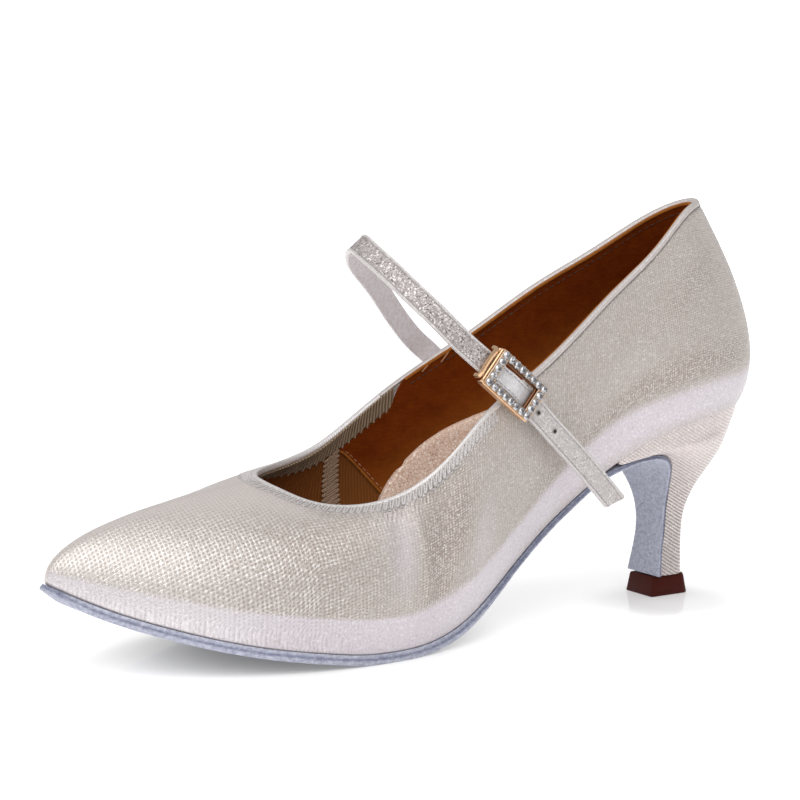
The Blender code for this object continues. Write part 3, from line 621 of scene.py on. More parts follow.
def grid_shell(
    points: Array,
    ring_rows: bool = False,
    ring_columns: bool = True,
    maps: dict[str, Array] | None = None,
    masks: dict[str, Array] | None = None,
) -> Shell:
    """A closed shell from a grid of points whose columns close on themselves.

    Open ends are closed by a ladder of faces from one side of the loop to the other.

    Args:
        points: Grid of shape (rows, columns, 3).
        ring_rows: Whether the last row joins the first.
        ring_columns: Whether the last column joins the first.
        maps: Pairs for each grid point, with one more row or column where a ring's seam needs it.
        masks: Values for each grid point.

    Returns:
        The shell with its faces outwards.
    """
    rows, columns = points.shape[:2]
    face_rows, face_columns = faces_of(rows, columns, ring_rows, ring_columns)
    if ring_columns and not ring_rows:
        rung = np.arange((columns - 1) // 2)
        across = np.stack([rung, rung + 1, columns - 2 - rung, columns - 1 - rung], axis=1)
        ends = np.concatenate([across[:, ::-1], across])
        end_rows = np.repeat([0, rows - 1], len(across))[:, None] * np.ones(4, int)
        face_rows = np.concatenate([face_rows, end_rows])
        face_columns = np.concatenate([face_columns, ends])
    faces = (face_rows % rows) * columns + face_columns % columns
    corner_maps = {}
    for name, grid in (maps or {}).items():
        corner_maps[name] = grid[face_rows % grid.shape[0], face_columns % grid.shape[1]]
    point_masks = {name: values.reshape(-1) for name, values in (masks or {}).items()}
    return Shell(points.reshape(-1, 3), faces, corner_maps, point_masks).turned_out()


def joined(shells: list[Shell]) -> Shell:
    """One shell from several that hold the same maps and masks."""
    starts = np.cumsum([0] + [len(shell.points) for shell in shells[:-1]])
    return Shell(
        np.concatenate([shell.points for shell in shells]),
        np.concatenate([shell.faces + start for shell, start in zip(shells, starts)]),
        {name: np.concatenate([shell.maps[name] for shell in shells]) for name in shells[0].maps},
        {name: np.concatenate([shell.masks[name] for shell in shells]) for name in shells[0].masks},
    )


def slab_shell(outer: Array, inner: Array, maps: dict[str, Array] | None = None) -> Shell:
    """A thin closed sheet between two grids of the same shape, with a rim all round."""
    points = np.concatenate([outer, inner[:, ::-1]], axis=1)
    both = {name: np.concatenate([grid, grid[:, ::-1]], axis=1) for name, grid in (maps or {}).items()}
    return grid_shell(points, maps=both)


def tube_shell(
    paths: Array, across: Array, radius: Array | float, sides: int = 6, flat: float = 1.0
) -> Shell:
    """Round tubes along paths: centre + radius (cos t a + sin t b), with a and b square to the path.

    Args:
        paths: Middle lines of shape (tubes, points, 3).
        across: Directions that the sides are counted from, of the same shape.
        radius: Radius, one for all or one for each point.
        sides: Flat sides round a tube.
        flat: Height of the tube along across as a share of its width.

    Returns:
        One shell with a map "length" of run and turn.
    """
    count, rings = paths.shape[:2]
    tangent = unit(np.gradient(paths, axis=1))
    up = unit(across - (across * tangent).sum(-1, keepdims=True) * tangent)
    side = np.cross(tangent, up)
    turn = np.arange(sides) * 2 * pi / sides
    size = np.broadcast_to(radius, (count, rings))[..., None, None]
    ring = (
        np.cos(turn)[:, None] * up[:, :, None, :] * flat + np.sin(turn)[:, None] * side[:, :, None, :]
    )
    points = paths[:, :, None, :] + size * ring
    run = run_length(paths)
    faces = grid_shell(points[0]).faces
    face_rows = faces // sides
    starts = np.arange(count) * rings * sides
    all_faces = (starts[:, None, None] + faces[None]).reshape(-1, 4)
    length = run[:, face_rows]
    around = np.broadcast_to((faces % sides) / sides, length.shape)
    maps = {"length": np.stack([length, around], axis=-1).reshape(-1, 4, 2)}
    return Shell(points.reshape(-1, 3), all_faces, maps).turned_out()


def stitch_shell(
    points: Array, normals: Array, pitch: float, length: float, radius: float, rise: float = 0.00018
) -> Shell:
    """A row of stitches: short arched threads, each rising by a sine out of the cloth and back into it.

    Args:
        points: Line of the stitching.
        normals: Outward directions along it.
        pitch: Distance from stitch to stitch.
        length: Length of one stitch.
        radius: Radius of the thread.
        rise: Height of a stitch's middle over its ends.

    Returns:
        The shell of all stitches.
    """
    run = run_length(points)
    starts = np.arange(pitch / 2, run[-1] - length, pitch)
    share = np.linspace(0, 1, 6)
    wanted = starts[:, None] + share[None, :] * length
    both = np.concatenate([points, normals], axis=1)
    read = np.stack([np.interp(wanted, run, both[:, axis]) for axis in range(6)], axis=-1)
    outward = unit(read[..., 3:])
    lift = (np.sin(pi * share) * rise - radius * 0.6)[None, :, None]
    return tube_shell(read[..., :3] + outward * lift, outward, radius)


def make_piece(
    name: str,
    shell: Shell,
    material: bpy.types.Material,
    replaces: tuple[str, ...] = (),
    sharp: float = radians(45),
) -> bpy.types.Object:
    """Puts a shell into a mesh that rides on the shoe.

    Args:
        name: Name of the piece.
        shell: Its points, faces, maps and masks.
        material: Its finish.
        replaces: Solids that the piece stands for.
        sharp: Angle between faces over which an edge is kept sharp.

    Returns:
        The finished object.
    """
    mesh = bpy.data.meshes.new(name)
    mesh.vertices.add(len(shell.points))
    mesh.vertices.foreach_set("co", shell.points.ravel())
    mesh.loops.add(shell.faces.size)
    mesh.loops.foreach_set("vertex_index", shell.faces.ravel())
    mesh.polygons.add(len(shell.faces))
    mesh.polygons.foreach_set("loop_start", np.arange(0, shell.faces.size, 4))
    mesh.update(calc_edges=True)
    for title, values in shell.maps.items():
        layer = mesh.uv_layers.new(name=title)
        layer.data.foreach_set("uv", values.reshape(-1))
    for title, values in shell.masks.items():
        mesh.attributes.new(title, "FLOAT", "POINT").data.foreach_set("value", values)
    if mesh.validate(verbose=False):
        LOG.info("%s: validate mended the mesh", name)
    mesh.shade_smooth()
    mesh.set_sharp_from_angle(angle=sharp)
    mesh.materials.append(material)
    piece = bpy.data.objects.new(name, mesh)
    bpy.context.collection.objects.link(piece)
    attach(piece, "root")
    if replaces:
        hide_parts(*replaces)
    LOG.info("%s: %d faces", name, len(mesh.polygons))
    return piece


class Graph:
    """Short calls that add and join the nodes of one tree."""

    def __init__(self, tree: bpy.types.NodeTree) -> None:
        """Keeps the tree."""
        self.tree = tree

    def filled(self, made: bpy.types.Node, inputs: dict) -> bpy.types.Node:
        """The node with values or sockets put into its inputs, by name or number."""
        for key, value in inputs.items():
            if isinstance(value, bpy.types.NodeSocket):
                self.tree.links.new(value, made.inputs[key])
            else:
                made.inputs[key].default_value = value
        return made

    def node(self, kind: str, inputs: dict | None = None, **settings: object) -> bpy.types.Node:
        """Adds a node.

        Args:
            kind: Type name of the node.
            inputs: Values or sockets for its inputs, by name or number.
            settings: Properties of the node.

        Returns:
            The node.
        """
        made = self.tree.nodes.new(kind)
        for title, value in settings.items():
            setattr(made, title, value)
        return self.filled(made, inputs or {})

    def math(self, operation: str, *values: object) -> bpy.types.NodeSocket:
        """Result of one Math node."""
        return self.node("ShaderNodeMath", dict(enumerate(values)), operation=operation).outputs[0]

    def times(self, first: object, second: object) -> bpy.types.NodeSocket:
        """Product of two values."""
        return self.math("MULTIPLY", first, second)

    def fused(self, value: object, factor: object, added: object) -> bpy.types.NodeSocket:
        """A value times a factor, plus another value."""
        return self.math("MULTIPLY_ADD", value, factor, added)

    def higher(self, first: object, second: object) -> bpy.types.NodeSocket:
        """The higher of two values."""
        return self.math("MAXIMUM", first, second)

    def rest(self, value: object) -> bpy.types.NodeSocket:
        """One less a value."""
        return self.math("SUBTRACT", 1.0, value)

    def wave(self, value: object, speed: float = 2 * pi) -> bpy.types.NodeSocket:
        """(1 + cos) / 2 of a value times speed."""
        return self.fused(self.math("COSINE", self.times(value, speed)), 0.5, 0.5)

    def vector(self, operation: str, *values: object) -> bpy.types.NodeSocket:
        """Vector result of one Vector Math node."""
        return self.node("ShaderNodeVectorMath", dict(enumerate(values)), operation=operation).outputs[0]

    def measure(self, operation: str, *values: object) -> bpy.types.NodeSocket:
        """Number that one Vector Math node gives."""
        inputs = dict(enumerate(values))
        return self.node("ShaderNodeVectorMath", inputs, operation=operation).outputs["Value"]

    def scaled(self, vector: object, amount: object) -> bpy.types.NodeSocket:
        """A vector times a number."""
        inputs = {0: vector, "Scale": amount}
        return self.node("ShaderNodeVectorMath", inputs, operation="SCALE").outputs[0]

    def mix(self, factor: object, first: object, second: object) -> bpy.types.NodeSocket:
        """Mix of two colours."""
        inputs = {0: factor, 6: first, 7: second}
        return self.node("ShaderNodeMix", inputs, data_type="RGBA").outputs[2]

    def between(self, value: object, low: float, high: float, *to: float) -> bpy.types.NodeSocket:
        """A value carried smoothly from low..high to 0..1, or to two numbers, and held at the ends."""
        ends = to or (0.0, 1.0)
        inputs = {0: value, 1: low, 2: high, 3: ends[0], 4: ends[1]}
        return self.node("ShaderNodeMapRange", inputs, interpolation_type="SMOOTHSTEP").outputs[0]

    def noise(
        self, vector: object, scale: object, detail: float = 2.0, rough: float = 0.5
    ) -> bpy.types.NodeSocket:
        """Value of a noise."""
        inputs = {"Vector": vector, "Scale": scale, "Detail": detail, "Roughness": rough}
        return self.node("ShaderNodeTexNoise", inputs).outputs[0]

    def split(self, vector: object) -> list[bpy.types.NodeSocket]:
        """The three parts of a vector."""
        return list(self.node("ShaderNodeSeparateXYZ", {0: vector}).outputs)

    def map_at(self, name: str) -> bpy.types.NodeSocket:
        """A UV map of the piece, in metres."""
        return self.node("ShaderNodeUVMap", None, uv_map=name).outputs[0]

    def place(self) -> bpy.types.NodeSocket:
        """Object coordinates, in metres."""
        return self.node("ShaderNodeTexCoord").outputs["Object"]

    def mask(self, name: str) -> bpy.types.NodeSocket:
        """A mask of the piece."""
        return self.node("ShaderNodeAttribute", None, attribute_name=name).outputs["Fac"]

    def group(self, tree: bpy.types.NodeTree, **inputs: object) -> bpy.types.bpy_prop_collection:
        """Outputs of a group that is placed with its inputs by name."""
        return self.node("ShaderNodeGroup", inputs, node_tree=tree).outputs

    def bump(self, height: object, distance: float, strength: float = 1.0) -> bpy.types.NodeSocket:
        """Normal from a height of 0 to 1 that stands for distance metres."""
        inputs = {"Height": height, "Distance": distance, "Strength": strength}
        return self.node("ShaderNodeBump", inputs).outputs[0]


def new_group(
    name: str, inputs: dict[str, object], outputs: dict[str, str]
) -> tuple[bpy.types.NodeTree, Graph]:
    """An empty shader group with named sockets.

    Args:
        name: Name of the group.
        inputs: "VECTOR" or a number that the input starts at, by name.
        outputs: "VALUE" or "COLOUR", by name.

    Returns:
        The tree and calls to fill it.
    """
    tree = bpy.data.node_groups.new(name, "ShaderNodeTree")
    for title, start in inputs.items():
        kind = "NodeSocketVector" if start == "VECTOR" else "NodeSocketFloat"
        socket = tree.interface.new_socket(title, in_out="INPUT", socket_type=kind)
        if kind == "NodeSocketFloat":
            socket.default_value = start
    for title, kind in outputs.items():
        made = "NodeSocketColor" if kind == "COLOUR" else "NodeSocketFloat"
        tree.interface.new_socket(title, in_out="OUTPUT", socket_type=made)
    return tree, Graph(tree)


@dataclass
class Effects:
    """Node groups that several finishes share."""

    mesh: bpy.types.NodeTree = field(init=False)
    nap: bpy.types.NodeTree = field(init=False)
    glitter: bpy.types.NodeTree = field(init=False)
    ribs: bpy.types.NodeTree = field(init=False)

    def __post_init__(self) -> None:
        """Builds each group once."""
        self.mesh = self.woven_mesh()
        self.nap = self.soft_nap()
        self.glitter = self.fine_glitter()
        self.ribs = self.soft_ribs()

    def woven_mesh(self) -> bpy.types.NodeTree:
        """Plain weave of shiny threads.

        A thread's height is (1 + cos) / 2 of its map coordinate to the power 1.6, over or under its neighbour
        by the product of both half-speed cosines, and the gap is where both are low.
        """
        tree, graph = new_group(
            "woven_mesh",
            {"Vector": "VECTOR", "Pitch": 0.001, "Wander": 0.2},
            {"Height": "VALUE", "Gap": "VALUE", "Glint": "VALUE"},
        )
        entry = graph.node("NodeGroupInput").outputs
        turns = graph.scaled(entry["Vector"], graph.math("DIVIDE", 1.0, entry["Pitch"]))
        wobble = graph.node("ShaderNodeTexNoise", {"Vector": turns, "Scale": 0.23, "Detail": 3.0}).outputs[1]
        shift = graph.scaled(graph.vector("SUBTRACT", wobble, (0.5, 0.5, 0.5)), entry["Wander"])
        placed = graph.vector("ADD", turns, shift)
        u, v, _ = graph.split(placed)
        ridges = []
        halves = []
        for part in (u, v):
            ridges.append(graph.math("POWER", graph.wave(part), 1.6))
            halves.append(graph.math("COSINE", graph.times(part, pi)))
        over = graph.times(halves[0], halves[1])
        first = graph.times(ridges[0], graph.fused(over, 0.35, 0.65))
        second = graph.times(ridges[1], graph.fused(over, -0.35, 0.65))
        height = graph.higher(first, second)
        gap = graph.times(graph.rest(ridges[0]), graph.rest(ridges[1]))
        # Glint: chance crossings, which the finishes paint white as painted glints.
        cell = graph.vector("FLOOR", graph.vector("ADD", placed, (0.5, 0.5, 0.0)))
        chance = graph.node("ShaderNodeTexWhiteNoise", {"Vector": cell}, noise_dimensions="2D").outputs[0]
        peak = graph.math("POWER", graph.times(ridges[0], ridges[1]), 0.8)
        glint = graph.times(graph.between(chance, 0.35, 0.95), peak)
        graph.node("NodeGroupOutput", {"Height": height, "Gap": gap, "Glint": glint})
        return tree

    def soft_nap(self) -> bpy.types.NodeTree:
        """Nap of suede: blotches, brushed streaks and fine fibres, each a noise of its own size."""
        tree, graph = new_group(
            "soft_nap",
            {"Vector": "VECTOR", "Fibre": 0.0004, "Blotch": 0.006},
            {"Height": "VALUE", "Tone": "VALUE"},
        )
        entry = graph.node("NodeGroupInput").outputs
        fibre = graph.noise(entry["Vector"], graph.math("DIVIDE", 1.0, entry["Fibre"]), 3.0, 0.65)
        blotch = graph.noise(entry["Vector"], graph.math("DIVIDE", 1.0, entry["Blotch"]), 4.0, 0.6)
        streak_at = graph.vector("MULTIPLY", entry["Vector"], (0.35, 1.0, 1.6))
        streak = graph.noise(streak_at, graph.math("DIVIDE", 0.5, entry["Fibre"]), 2.0, 0.5)
        tone = graph.fused(blotch, 0.5, graph.fused(streak, 0.3, graph.times(fibre, 0.2)))
        height = graph.fused(fibre, 0.6, graph.times(streak, 0.4))
        graph.node("NodeGroupOutput", {"Height": height, "Tone": tone})
        return tree

    def fine_glitter(self) -> bpy.types.NodeTree:
        """Glitter: each cell of a Voronoi pattern is one flake with its own brightness and lean; Bright marks
        the flakes painted as sparkle.
        """
        tree, graph = new_group(
            "fine_glitter",
            {"Vector": "VECTOR", "Flake": 0.0004},
            {"Height": "VALUE", "Bright": "VALUE", "Dark": "VALUE"},
        )
        entry = graph.node("NodeGroupInput").outputs
        scale = graph.math("DIVIDE", 1.0, entry["Flake"])
        cells = graph.node("ShaderNodeTexVoronoi", {"Vector": entry["Vector"], "Scale": scale})
        chance = graph.split(cells.outputs["Color"])
        bright = graph.between(chance[0], 0.72, 0.96)
        dark = graph.between(chance[1], 0.80, 0.97)
        height = graph.fused(chance[2], 0.7, graph.times(cells.outputs["Distance"], 0.5))
        graph.node("NodeGroupOutput", {"Height": height, "Bright": bright, "Dark": dark})
        return tree

    def soft_ribs(self) -> bpy.types.NodeTree:
        """Even ribs along one direction: (1 + cos) / 2 of the coordinate along Across, a little uneven."""
        tree, graph = new_group(
            "soft_ribs",
            {"Vector": "VECTOR", "Across": "VECTOR", "Pitch": 0.001, "Wander": 0.3},
            {"Height": "VALUE"},
        )
        entry = graph.node("NodeGroupInput").outputs
        reach = graph.measure("DOT_PRODUCT", entry["Vector"], entry["Across"])
        turns = graph.math("DIVIDE", reach, entry["Pitch"])
        wobble = graph.noise(entry["Vector"], 90.0, 2.0)
        placed = graph.fused(graph.math("SUBTRACT", wobble, 0.5), entry["Wander"], turns)
        graph.node("NodeGroupOutput", {"Height": graph.wave(placed)})
        return tree


class Surface(Graph):
    """The nodes of a material round its Principled shader."""

    def __init__(self, material: bpy.types.Material) -> None:
        """Keeps the material and its shader."""
        super().__init__(material.node_tree)
        self.material = material
        self.shader = self.tree.nodes["Principled BSDF"]

    def feeding(self, name: str) -> bpy.types.NodeSocket:
        """The socket that feeds one of the shader's inputs."""
        return self.shader.inputs[name].links[0].from_socket

    def finished(self, **sockets: bpy.types.NodeSocket) -> bpy.types.Material:
        """Joins sockets to the shader's inputs, named with _ for a space, and hands over the material."""
        for key, socket in sockets.items():
            self.tree.links.new(socket, self.shader.inputs[key.replace("_", " ")])
        return self.material


def surface(name: str, **inputs: object) -> Surface:
    """A new material.

    Args:
        name: Name of the material.
        inputs: Plain values for the shader's sockets, with _ for a space.

    Returns:
        Calls to fill it.
    """
    material = bpy.data.materials.new(name)
    material.use_nodes = True
    graph = Surface(material)
    for key, value in inputs.items():
        graph.shader.inputs[key.replace("_", " ")].default_value = value
    return graph


@dataclass(frozen=True)
class MeshCloth:
    """Champagne mesh of the upper: shiny threads, a smooth band near the sole painted pale as a floor
    reflection, gathers at the throat.
    """

    body: Colour = (0.505, 0.447, 0.412, 1.0)
    band: Colour = (0.67, 0.62, 0.675, 1.0)
    stretched: Colour = (0.37, 0.305, 0.26, 1.0)
    hollow: Colour = (0.27, 0.225, 0.20, 1.0)
    cloud: Colour = (0.37, 0.325, 0.295, 1.0)
    grazing_sheen: Colour = (0.74, 0.67, 0.645, 1.0)
    thread: Colour = (1.0, 0.97, 0.95, 1.0)
    pitch: float = 0.00105
    relief: float = 0.00013
    gather: float = 0.00135

    def material(self, effects: Effects) -> bpy.types.Material:
        """Builds the material from the maps weave and edge and all four masks of the upper."""
        graph = surface("upper_mesh", Sheen_Weight=0.35, Sheen_Roughness=0.35)
        weave = graph.map_at("weave")
        coarse = graph.group(effects.mesh, Vector=weave, Pitch=self.pitch, Wander=0.5)
        fine = graph.group(effects.mesh, Vector=weave, Pitch=self.pitch * 0.43, Wander=0.5)
        specks = graph.group(effects.glitter, Vector=graph.place(), Flake=0.00035)
        grain = graph.noise(graph.place(), 1500.0, 3.0, 0.7)
        band = graph.mask("band")
        smooth = graph.higher(band, graph.mask("smooth"))
        stretched = graph.mask("stretched")
        edge_run, edge_down, _ = graph.split(graph.map_at("edge"))
        fade = graph.times(graph.mask("throat"), graph.between(edge_down, 0.0135, 0.0045))
        pleat = graph.times(graph.wave(edge_run, 2 * pi / self.gather), fade)
        cloud = graph.noise(graph.place(), 55.0, 3.0)
        forward = graph.split(graph.place())[0]
        # Darker where stretched: stretched mesh, and painted shade of the strap, the heel's top and the line
        # over the band.
        base = graph.mix(stretched, self.body, self.stretched)
        # Pale where band and smooth are: the band's painted floor reflection and painted sheen on the folds.
        base = graph.mix(graph.times(smooth, 0.9), base, self.band)
        base = graph.mix(graph.times(cloud, 0.16), base, self.cloud)
        # Paler toward the toe: a painted highlight.
        base = graph.mix(graph.between(forward, 0.15, 0.195, 0.0, 0.24), base, self.thread)
        base = graph.mix(graph.between(grain, 0.52, 0.72, 0.0, 0.34), base, self.hollow)
        base = graph.mix(graph.between(grain, 0.48, 0.30, 0.0, 0.45), base, self.thread)
        vamp = graph.between(forward, 0.125, 0.155)
        open_mesh = graph.higher(graph.times(vamp, 0.6), stretched)
        # Paler and smoother where the vamp is seen edge-on: a painted sheen that follows the view.
        facing = graph.node("ShaderNodeLayerWeight", {"Blend": 0.5}).outputs["Facing"]
        grazing_sheen_mask = graph.times(graph.between(facing, 0.20, 0.56), graph.between(vamp, 0.3, 1.0))
        base = graph.mix(graph.times(grazing_sheen_mask, 0.8), base, self.grazing_sheen)
        smooth = graph.higher(smooth, graph.times(grazing_sheen_mask, 0.92))
        nose = graph.between(forward, 0.165, 0.205)
        smooth = graph.higher(smooth, graph.times(nose, 0.5))
        depth = graph.fused(open_mesh, 0.44, graph.fused(smooth, -0.43, 0.45))
        base = graph.mix(graph.times(coarse["Gap"], depth), base, self.hollow)
        rough_part = graph.times(graph.fused(smooth, -0.8, 1.0), graph.fused(open_mesh, 0.65, 0.35))
        # Painted glints: chance crossings and flakes go white, more where the mesh is open and not smooth.
        shine = graph.higher(coarse["Glint"], graph.times(specks["Bright"], 0.5))
        base = graph.mix(graph.times(shine, rough_part), base, self.thread)
        under = graph.fused(grain, 0.9, graph.times(fine["Height"], 0.2))
        relief = graph.fused(coarse["Height"], graph.fused(smooth, -0.8, 0.85), under)
        relief = graph.fused(pleat, 1.6, relief)
        rough = graph.fused(coarse["Gap"], 0.2, 0.42)
        rough = graph.fused(coarse["Glint"], -0.18, graph.fused(nose, -0.14, rough))
        return graph.finished(
            Base_Color=base,
            Roughness=rough,
            Metallic=graph.fused(coarse["Gap"], -0.2, 0.45),
            Normal=graph.bump(relief, self.relief),
        )


@dataclass(frozen=True)
class HeelCover:
    """The upper's fabric stretched over the heel: fine slanting ribs with bright threads and painted glints.
    """

    body: Colour = (0.68, 0.60, 0.58, 1.0)
    groove: Colour = (0.23, 0.195, 0.185, 1.0)
    thread: Colour = (0.97, 0.95, 0.95, 1.0)
    slant: tuple[float, float, float] = (-0.481, 0.313, 0.819)
    weft: tuple[float, float, float] = (0.45, -0.2, 0.87)
    pitch: float = 0.00095
    relief: float = 0.0002

    def material(self, effects: Effects) -> bpy.types.Material:
        """Builds the material on Object coordinates: the ribs wind down the heel."""
        graph = surface("heel_fabric", Sheen_Weight=0.1)
        place = graph.place()
        ribs = graph.group(effects.ribs, Vector=place, Across=self.slant, Pitch=self.pitch, Wander=0.35)
        cross = graph.group(effects.ribs, Vector=place, Across=self.weft, Pitch=self.pitch * 0.9, Wander=0.9)
        specks = graph.group(effects.glitter, Vector=place, Flake=0.0004)
        cloud = graph.noise(place, 70.0, 3.0)
        low = graph.rest(ribs["Height"])
        stem = graph.between(graph.split(place)[2], 0.054, 0.030, 0.18, 0.85)
        base = graph.mix(graph.times(graph.math("POWER", low, 1.3), stem), self.body, self.groove)
        base = graph.mix(graph.times(cloud, 0.15), base, self.groove)
        grain = graph.noise(place, 1700.0, 3.0, 0.7)
        base = graph.mix(graph.between(grain, 0.50, 0.32, 0.0, 0.5), base, self.thread)
        # Painted glints: chance flakes on the rib tops go white.
        shine = graph.times(specks["Bright"], graph.times(ribs["Height"], 0.5))
        base = graph.mix(shine, base, self.thread)
        coarse = graph.times(ribs["Height"], graph.fused(stem, 0.6, 0.2))
        relief = graph.fused(cross["Height"], 0.25, coarse)
        return graph.finished(
            Base_Color=base,
            Roughness=graph.fused(low, 0.2, 0.3),
            Metallic=graph.fused(low, -0.25, 0.65),
            Normal=graph.bump(relief, self.relief),
        )


@dataclass(frozen=True)
class TrimTape:
    """Pale silver tape: fine cross ribs, small bumps and painted glints."""

    name: str = "silver_tape"
    body: Colour = (0.60, 0.55, 0.53, 1.0)
    shade: Colour = (0.38, 0.34, 0.32, 1.0)
    pitch: float = 0.0007
    relief: float = 0.0001

    def material(self, effects: Effects) -> bpy.types.Material:
        """Builds the material from the map edge, which holds the run along the edge and the way across it."""
        graph = surface(self.name)
        edge = graph.map_at("edge")
        ribs = graph.group(effects.ribs, Vector=edge, Across=(1.0, 0.15, 0.0), Pitch=self.pitch, Wander=0.6)
        grain = graph.noise(graph.place(), 2600.0, 2.0)
        specks = graph.group(effects.glitter, Vector=graph.place(), Flake=0.0004)
        low = graph.rest(ribs["Height"])
        base = graph.mix(graph.times(low, 0.3), self.body, self.shade)
        # Painted glints: chance flakes go toward white.
        base = graph.mix(graph.times(specks["Bright"], 0.25), base, (1.0, 1.0, 1.0, 1.0))
        relief = graph.fused(grain, 0.5, graph.times(ribs["Height"], 0.6))
        return graph.finished(
            Base_Color=base,
            Roughness=graph.fused(grain, 0.25, 0.30),
            Metallic=graph.fused(low, -0.2, 0.45),
            Normal=graph.bump(relief, self.relief),
        )


@dataclass(frozen=True)
class Elastic:
    """Ribbed woven elastic."""

    name: str
    body: Colour
    shade: Colour
    pitch: float = 0.0009
    relief: float = 0.00025

    def material(self, effects: Effects) -> bpy.types.Material:
        """Builds the material from the map edge."""
        graph = surface(self.name, Roughness=0.85, Specular_IOR_Level=0.08)
        edge = graph.map_at("edge")
        ribs = graph.group(effects.ribs, Vector=edge, Across=(1.0, 0.0, 0.0), Pitch=self.pitch, Wander=0.25)
        small = self.pitch * 0.45
        yarn = graph.group(effects.ribs, Vector=edge, Across=(0.3, 1.0, 0.0), Pitch=small, Wander=0.3)
        low = graph.rest(ribs["Height"])
        base = graph.mix(graph.times(low, 0.8), self.body, self.shade)
        base = graph.mix(graph.times(graph.noise(graph.place(), 300.0), 0.3), base, self.shade)
        relief = graph.fused(yarn["Height"], 0.2, graph.times(ribs["Height"], 0.8))
        return graph.finished(Base_Color=base, Normal=graph.bump(relief, self.relief))


@dataclass(frozen=True)
class GlitterCloth:
    """Glitter fabric of the strap and the sock: flakes that catch the light one by one, the brightest painted
    light as sparkle.
    """

    name: str
    body: Colour
    bright: Colour
    dark: Colour
    flake: float = 0.00042
    metallic: float = 0.75
    relief: float = 0.00022

    def material(self, effects: Effects) -> bpy.types.Material:
        """Builds the material on Object coordinates."""
        graph = surface(self.name)
        place = graph.place()
        flakes = graph.group(effects.glitter, Vector=place, Flake=self.flake)
        small = graph.group(effects.glitter, Vector=place, Flake=self.flake * 0.55)
        cloud = graph.noise(place, 220.0, 3.0)
        base = graph.mix(flakes["Dark"], self.body, self.dark)
        base = graph.mix(graph.times(cloud, 0.3), base, self.dark)
        # Painted sparkle: the brightest flakes take the light colour, and are glossier and more metallic too.
        shine = graph.higher(flakes["Bright"], graph.times(small["Bright"], 0.6))
        base = graph.mix(shine, base, self.bright)
        relief = graph.fused(small["Height"], 0.4, flakes["Height"])
        return graph.finished(
            Base_Color=base,
            Roughness=graph.fused(shine, -0.2, 0.42),
            Metallic=graph.times(graph.fused(shine, 0.3, 0.7), self.metallic),
            Normal=graph.bump(relief, self.relief),
        )


@dataclass(frozen=True)
class Suede:
    """Brushed leather with a nap."""

    name: str
    body: Colour
    light: Colour
    fibre: float = 0.00035
    relief: float = 0.00016

    def material(self, effects: Effects) -> bpy.types.Material:
        """Builds the material on Object coordinates."""
        graph = surface(
            self.name, Roughness=0.95, Sheen_Weight=0.0, Specular_IOR_Level=0.08, Diffuse_Roughness=0.6
        )
        nap = graph.group(effects.nap, Vector=graph.place(), Fibre=self.fibre, Blotch=0.005)
        tone = graph.between(nap["Tone"], 0.28, 0.72)
        return graph.finished(
            Base_Color=graph.mix(tone, self.body, self.light),
            Normal=graph.bump(nap["Height"], self.relief),
        )


@dataclass(frozen=True)
class Thread:
    """Sewing thread with the twist of its plies."""

    name: str
    body: Colour
    shade: Colour
    twist: float = 0.0006

    def material(self) -> bpy.types.Material:
        """Builds the material from the map length, which holds the run and the turn round the thread."""
        graph = surface(self.name, Roughness=0.55, Sheen_Weight=0.2)
        run, turn, _ = graph.split(graph.map_at("length"))
        phase = graph.fused(run, 1 / self.twist, graph.times(turn, 2.0))
        wave = graph.wave(phase)
        mottle = graph.noise(graph.place(), 900.0)
        low = graph.times(graph.rest(wave), graph.fused(mottle, 0.5, 0.5))
        return graph.finished(
            Base_Color=graph.mix(low, self.body, self.shade),
            Normal=graph.bump(wave, 0.00008),
        )


@dataclass(frozen=True)
class Metal:
    """Polished plated metal with faint rubbing."""

    name: str
    body: Colour
    rubbed: Colour
    roughness: float = 0.18
    shaded: Colour = (0.11, 0.035, 0.012, 1.0)

    def material(self, effects: Effects) -> bpy.types.Material:
        """Builds the material on Object coordinates, with painted shade where the mask inside is one."""
        graph = surface(self.name, Metallic=1.0)
        nap = graph.group(effects.nap, Vector=graph.place(), Fibre=0.0007, Blotch=0.004)
        base = graph.mix(nap["Tone"], self.body, self.rubbed)
        base = graph.mix(graph.times(graph.mask("inside"), 0.9), base, self.shaded)
        rough = graph.fused(nap["Tone"], 0.16, self.roughness - 0.06)
        return graph.finished(
            Base_Color=base,
            Roughness=rough,
            Normal=graph.bump(nap["Height"], 0.00002),
        )


@dataclass(frozen=True)
class Stone:
    """Cut crystal: clear bright facets round a dark table, which is a painted reflection."""

    body: Colour = (0.58, 0.58, 0.60, 1.0)
    dark: Colour = (0.07, 0.07, 0.08, 1.0)

    def material(self, effects: Effects) -> bpy.types.Material:
        """Builds the material from the mask table."""
        graph = surface("cut_stone", Roughness=0.08, Metallic=0.65, Coat_Weight=0.6, Coat_Roughness=0.03)
        cells = graph.group(effects.glitter, Vector=graph.place(), Flake=0.0007)
        # Painted reflection: the table and some chance facets are painted dark, and chance flakes paint
        # sparkle back into the table.
        middle = graph.times(graph.mask("table"), graph.fused(cells["Bright"], -0.7, 1.0))
        base = graph.mix(graph.times(cells["Dark"], 0.7), self.body, self.dark)
        return graph.finished(Base_Color=graph.mix(middle, base, self.dark))


@dataclass(frozen=True)
class Plastic:
    """Moulded brown plastic with scuffs."""

    body: Colour = (0.056, 0.0075, 0.0035, 1.0)
    scuff: Colour = (0.095, 0.026, 0.014, 1.0)

    def material(self, effects: Effects) -> bpy.types.Material:
        """Builds the material on Object coordinates."""
        graph = surface("tip_plastic", Specular_IOR_Level=0.12)
        nap = graph.group(effects.nap, Vector=graph.place(), Fibre=0.0006, Blotch=0.003)
        worn = graph.between(nap["Tone"], 0.55, 0.72)
        return graph.finished(
            Base_Color=graph.mix(worn, self.body, self.scuff),
            Roughness=graph.fused(worn, 0.25, 0.36),
            Normal=graph.bump(nap["Height"], 0.00004),
        )


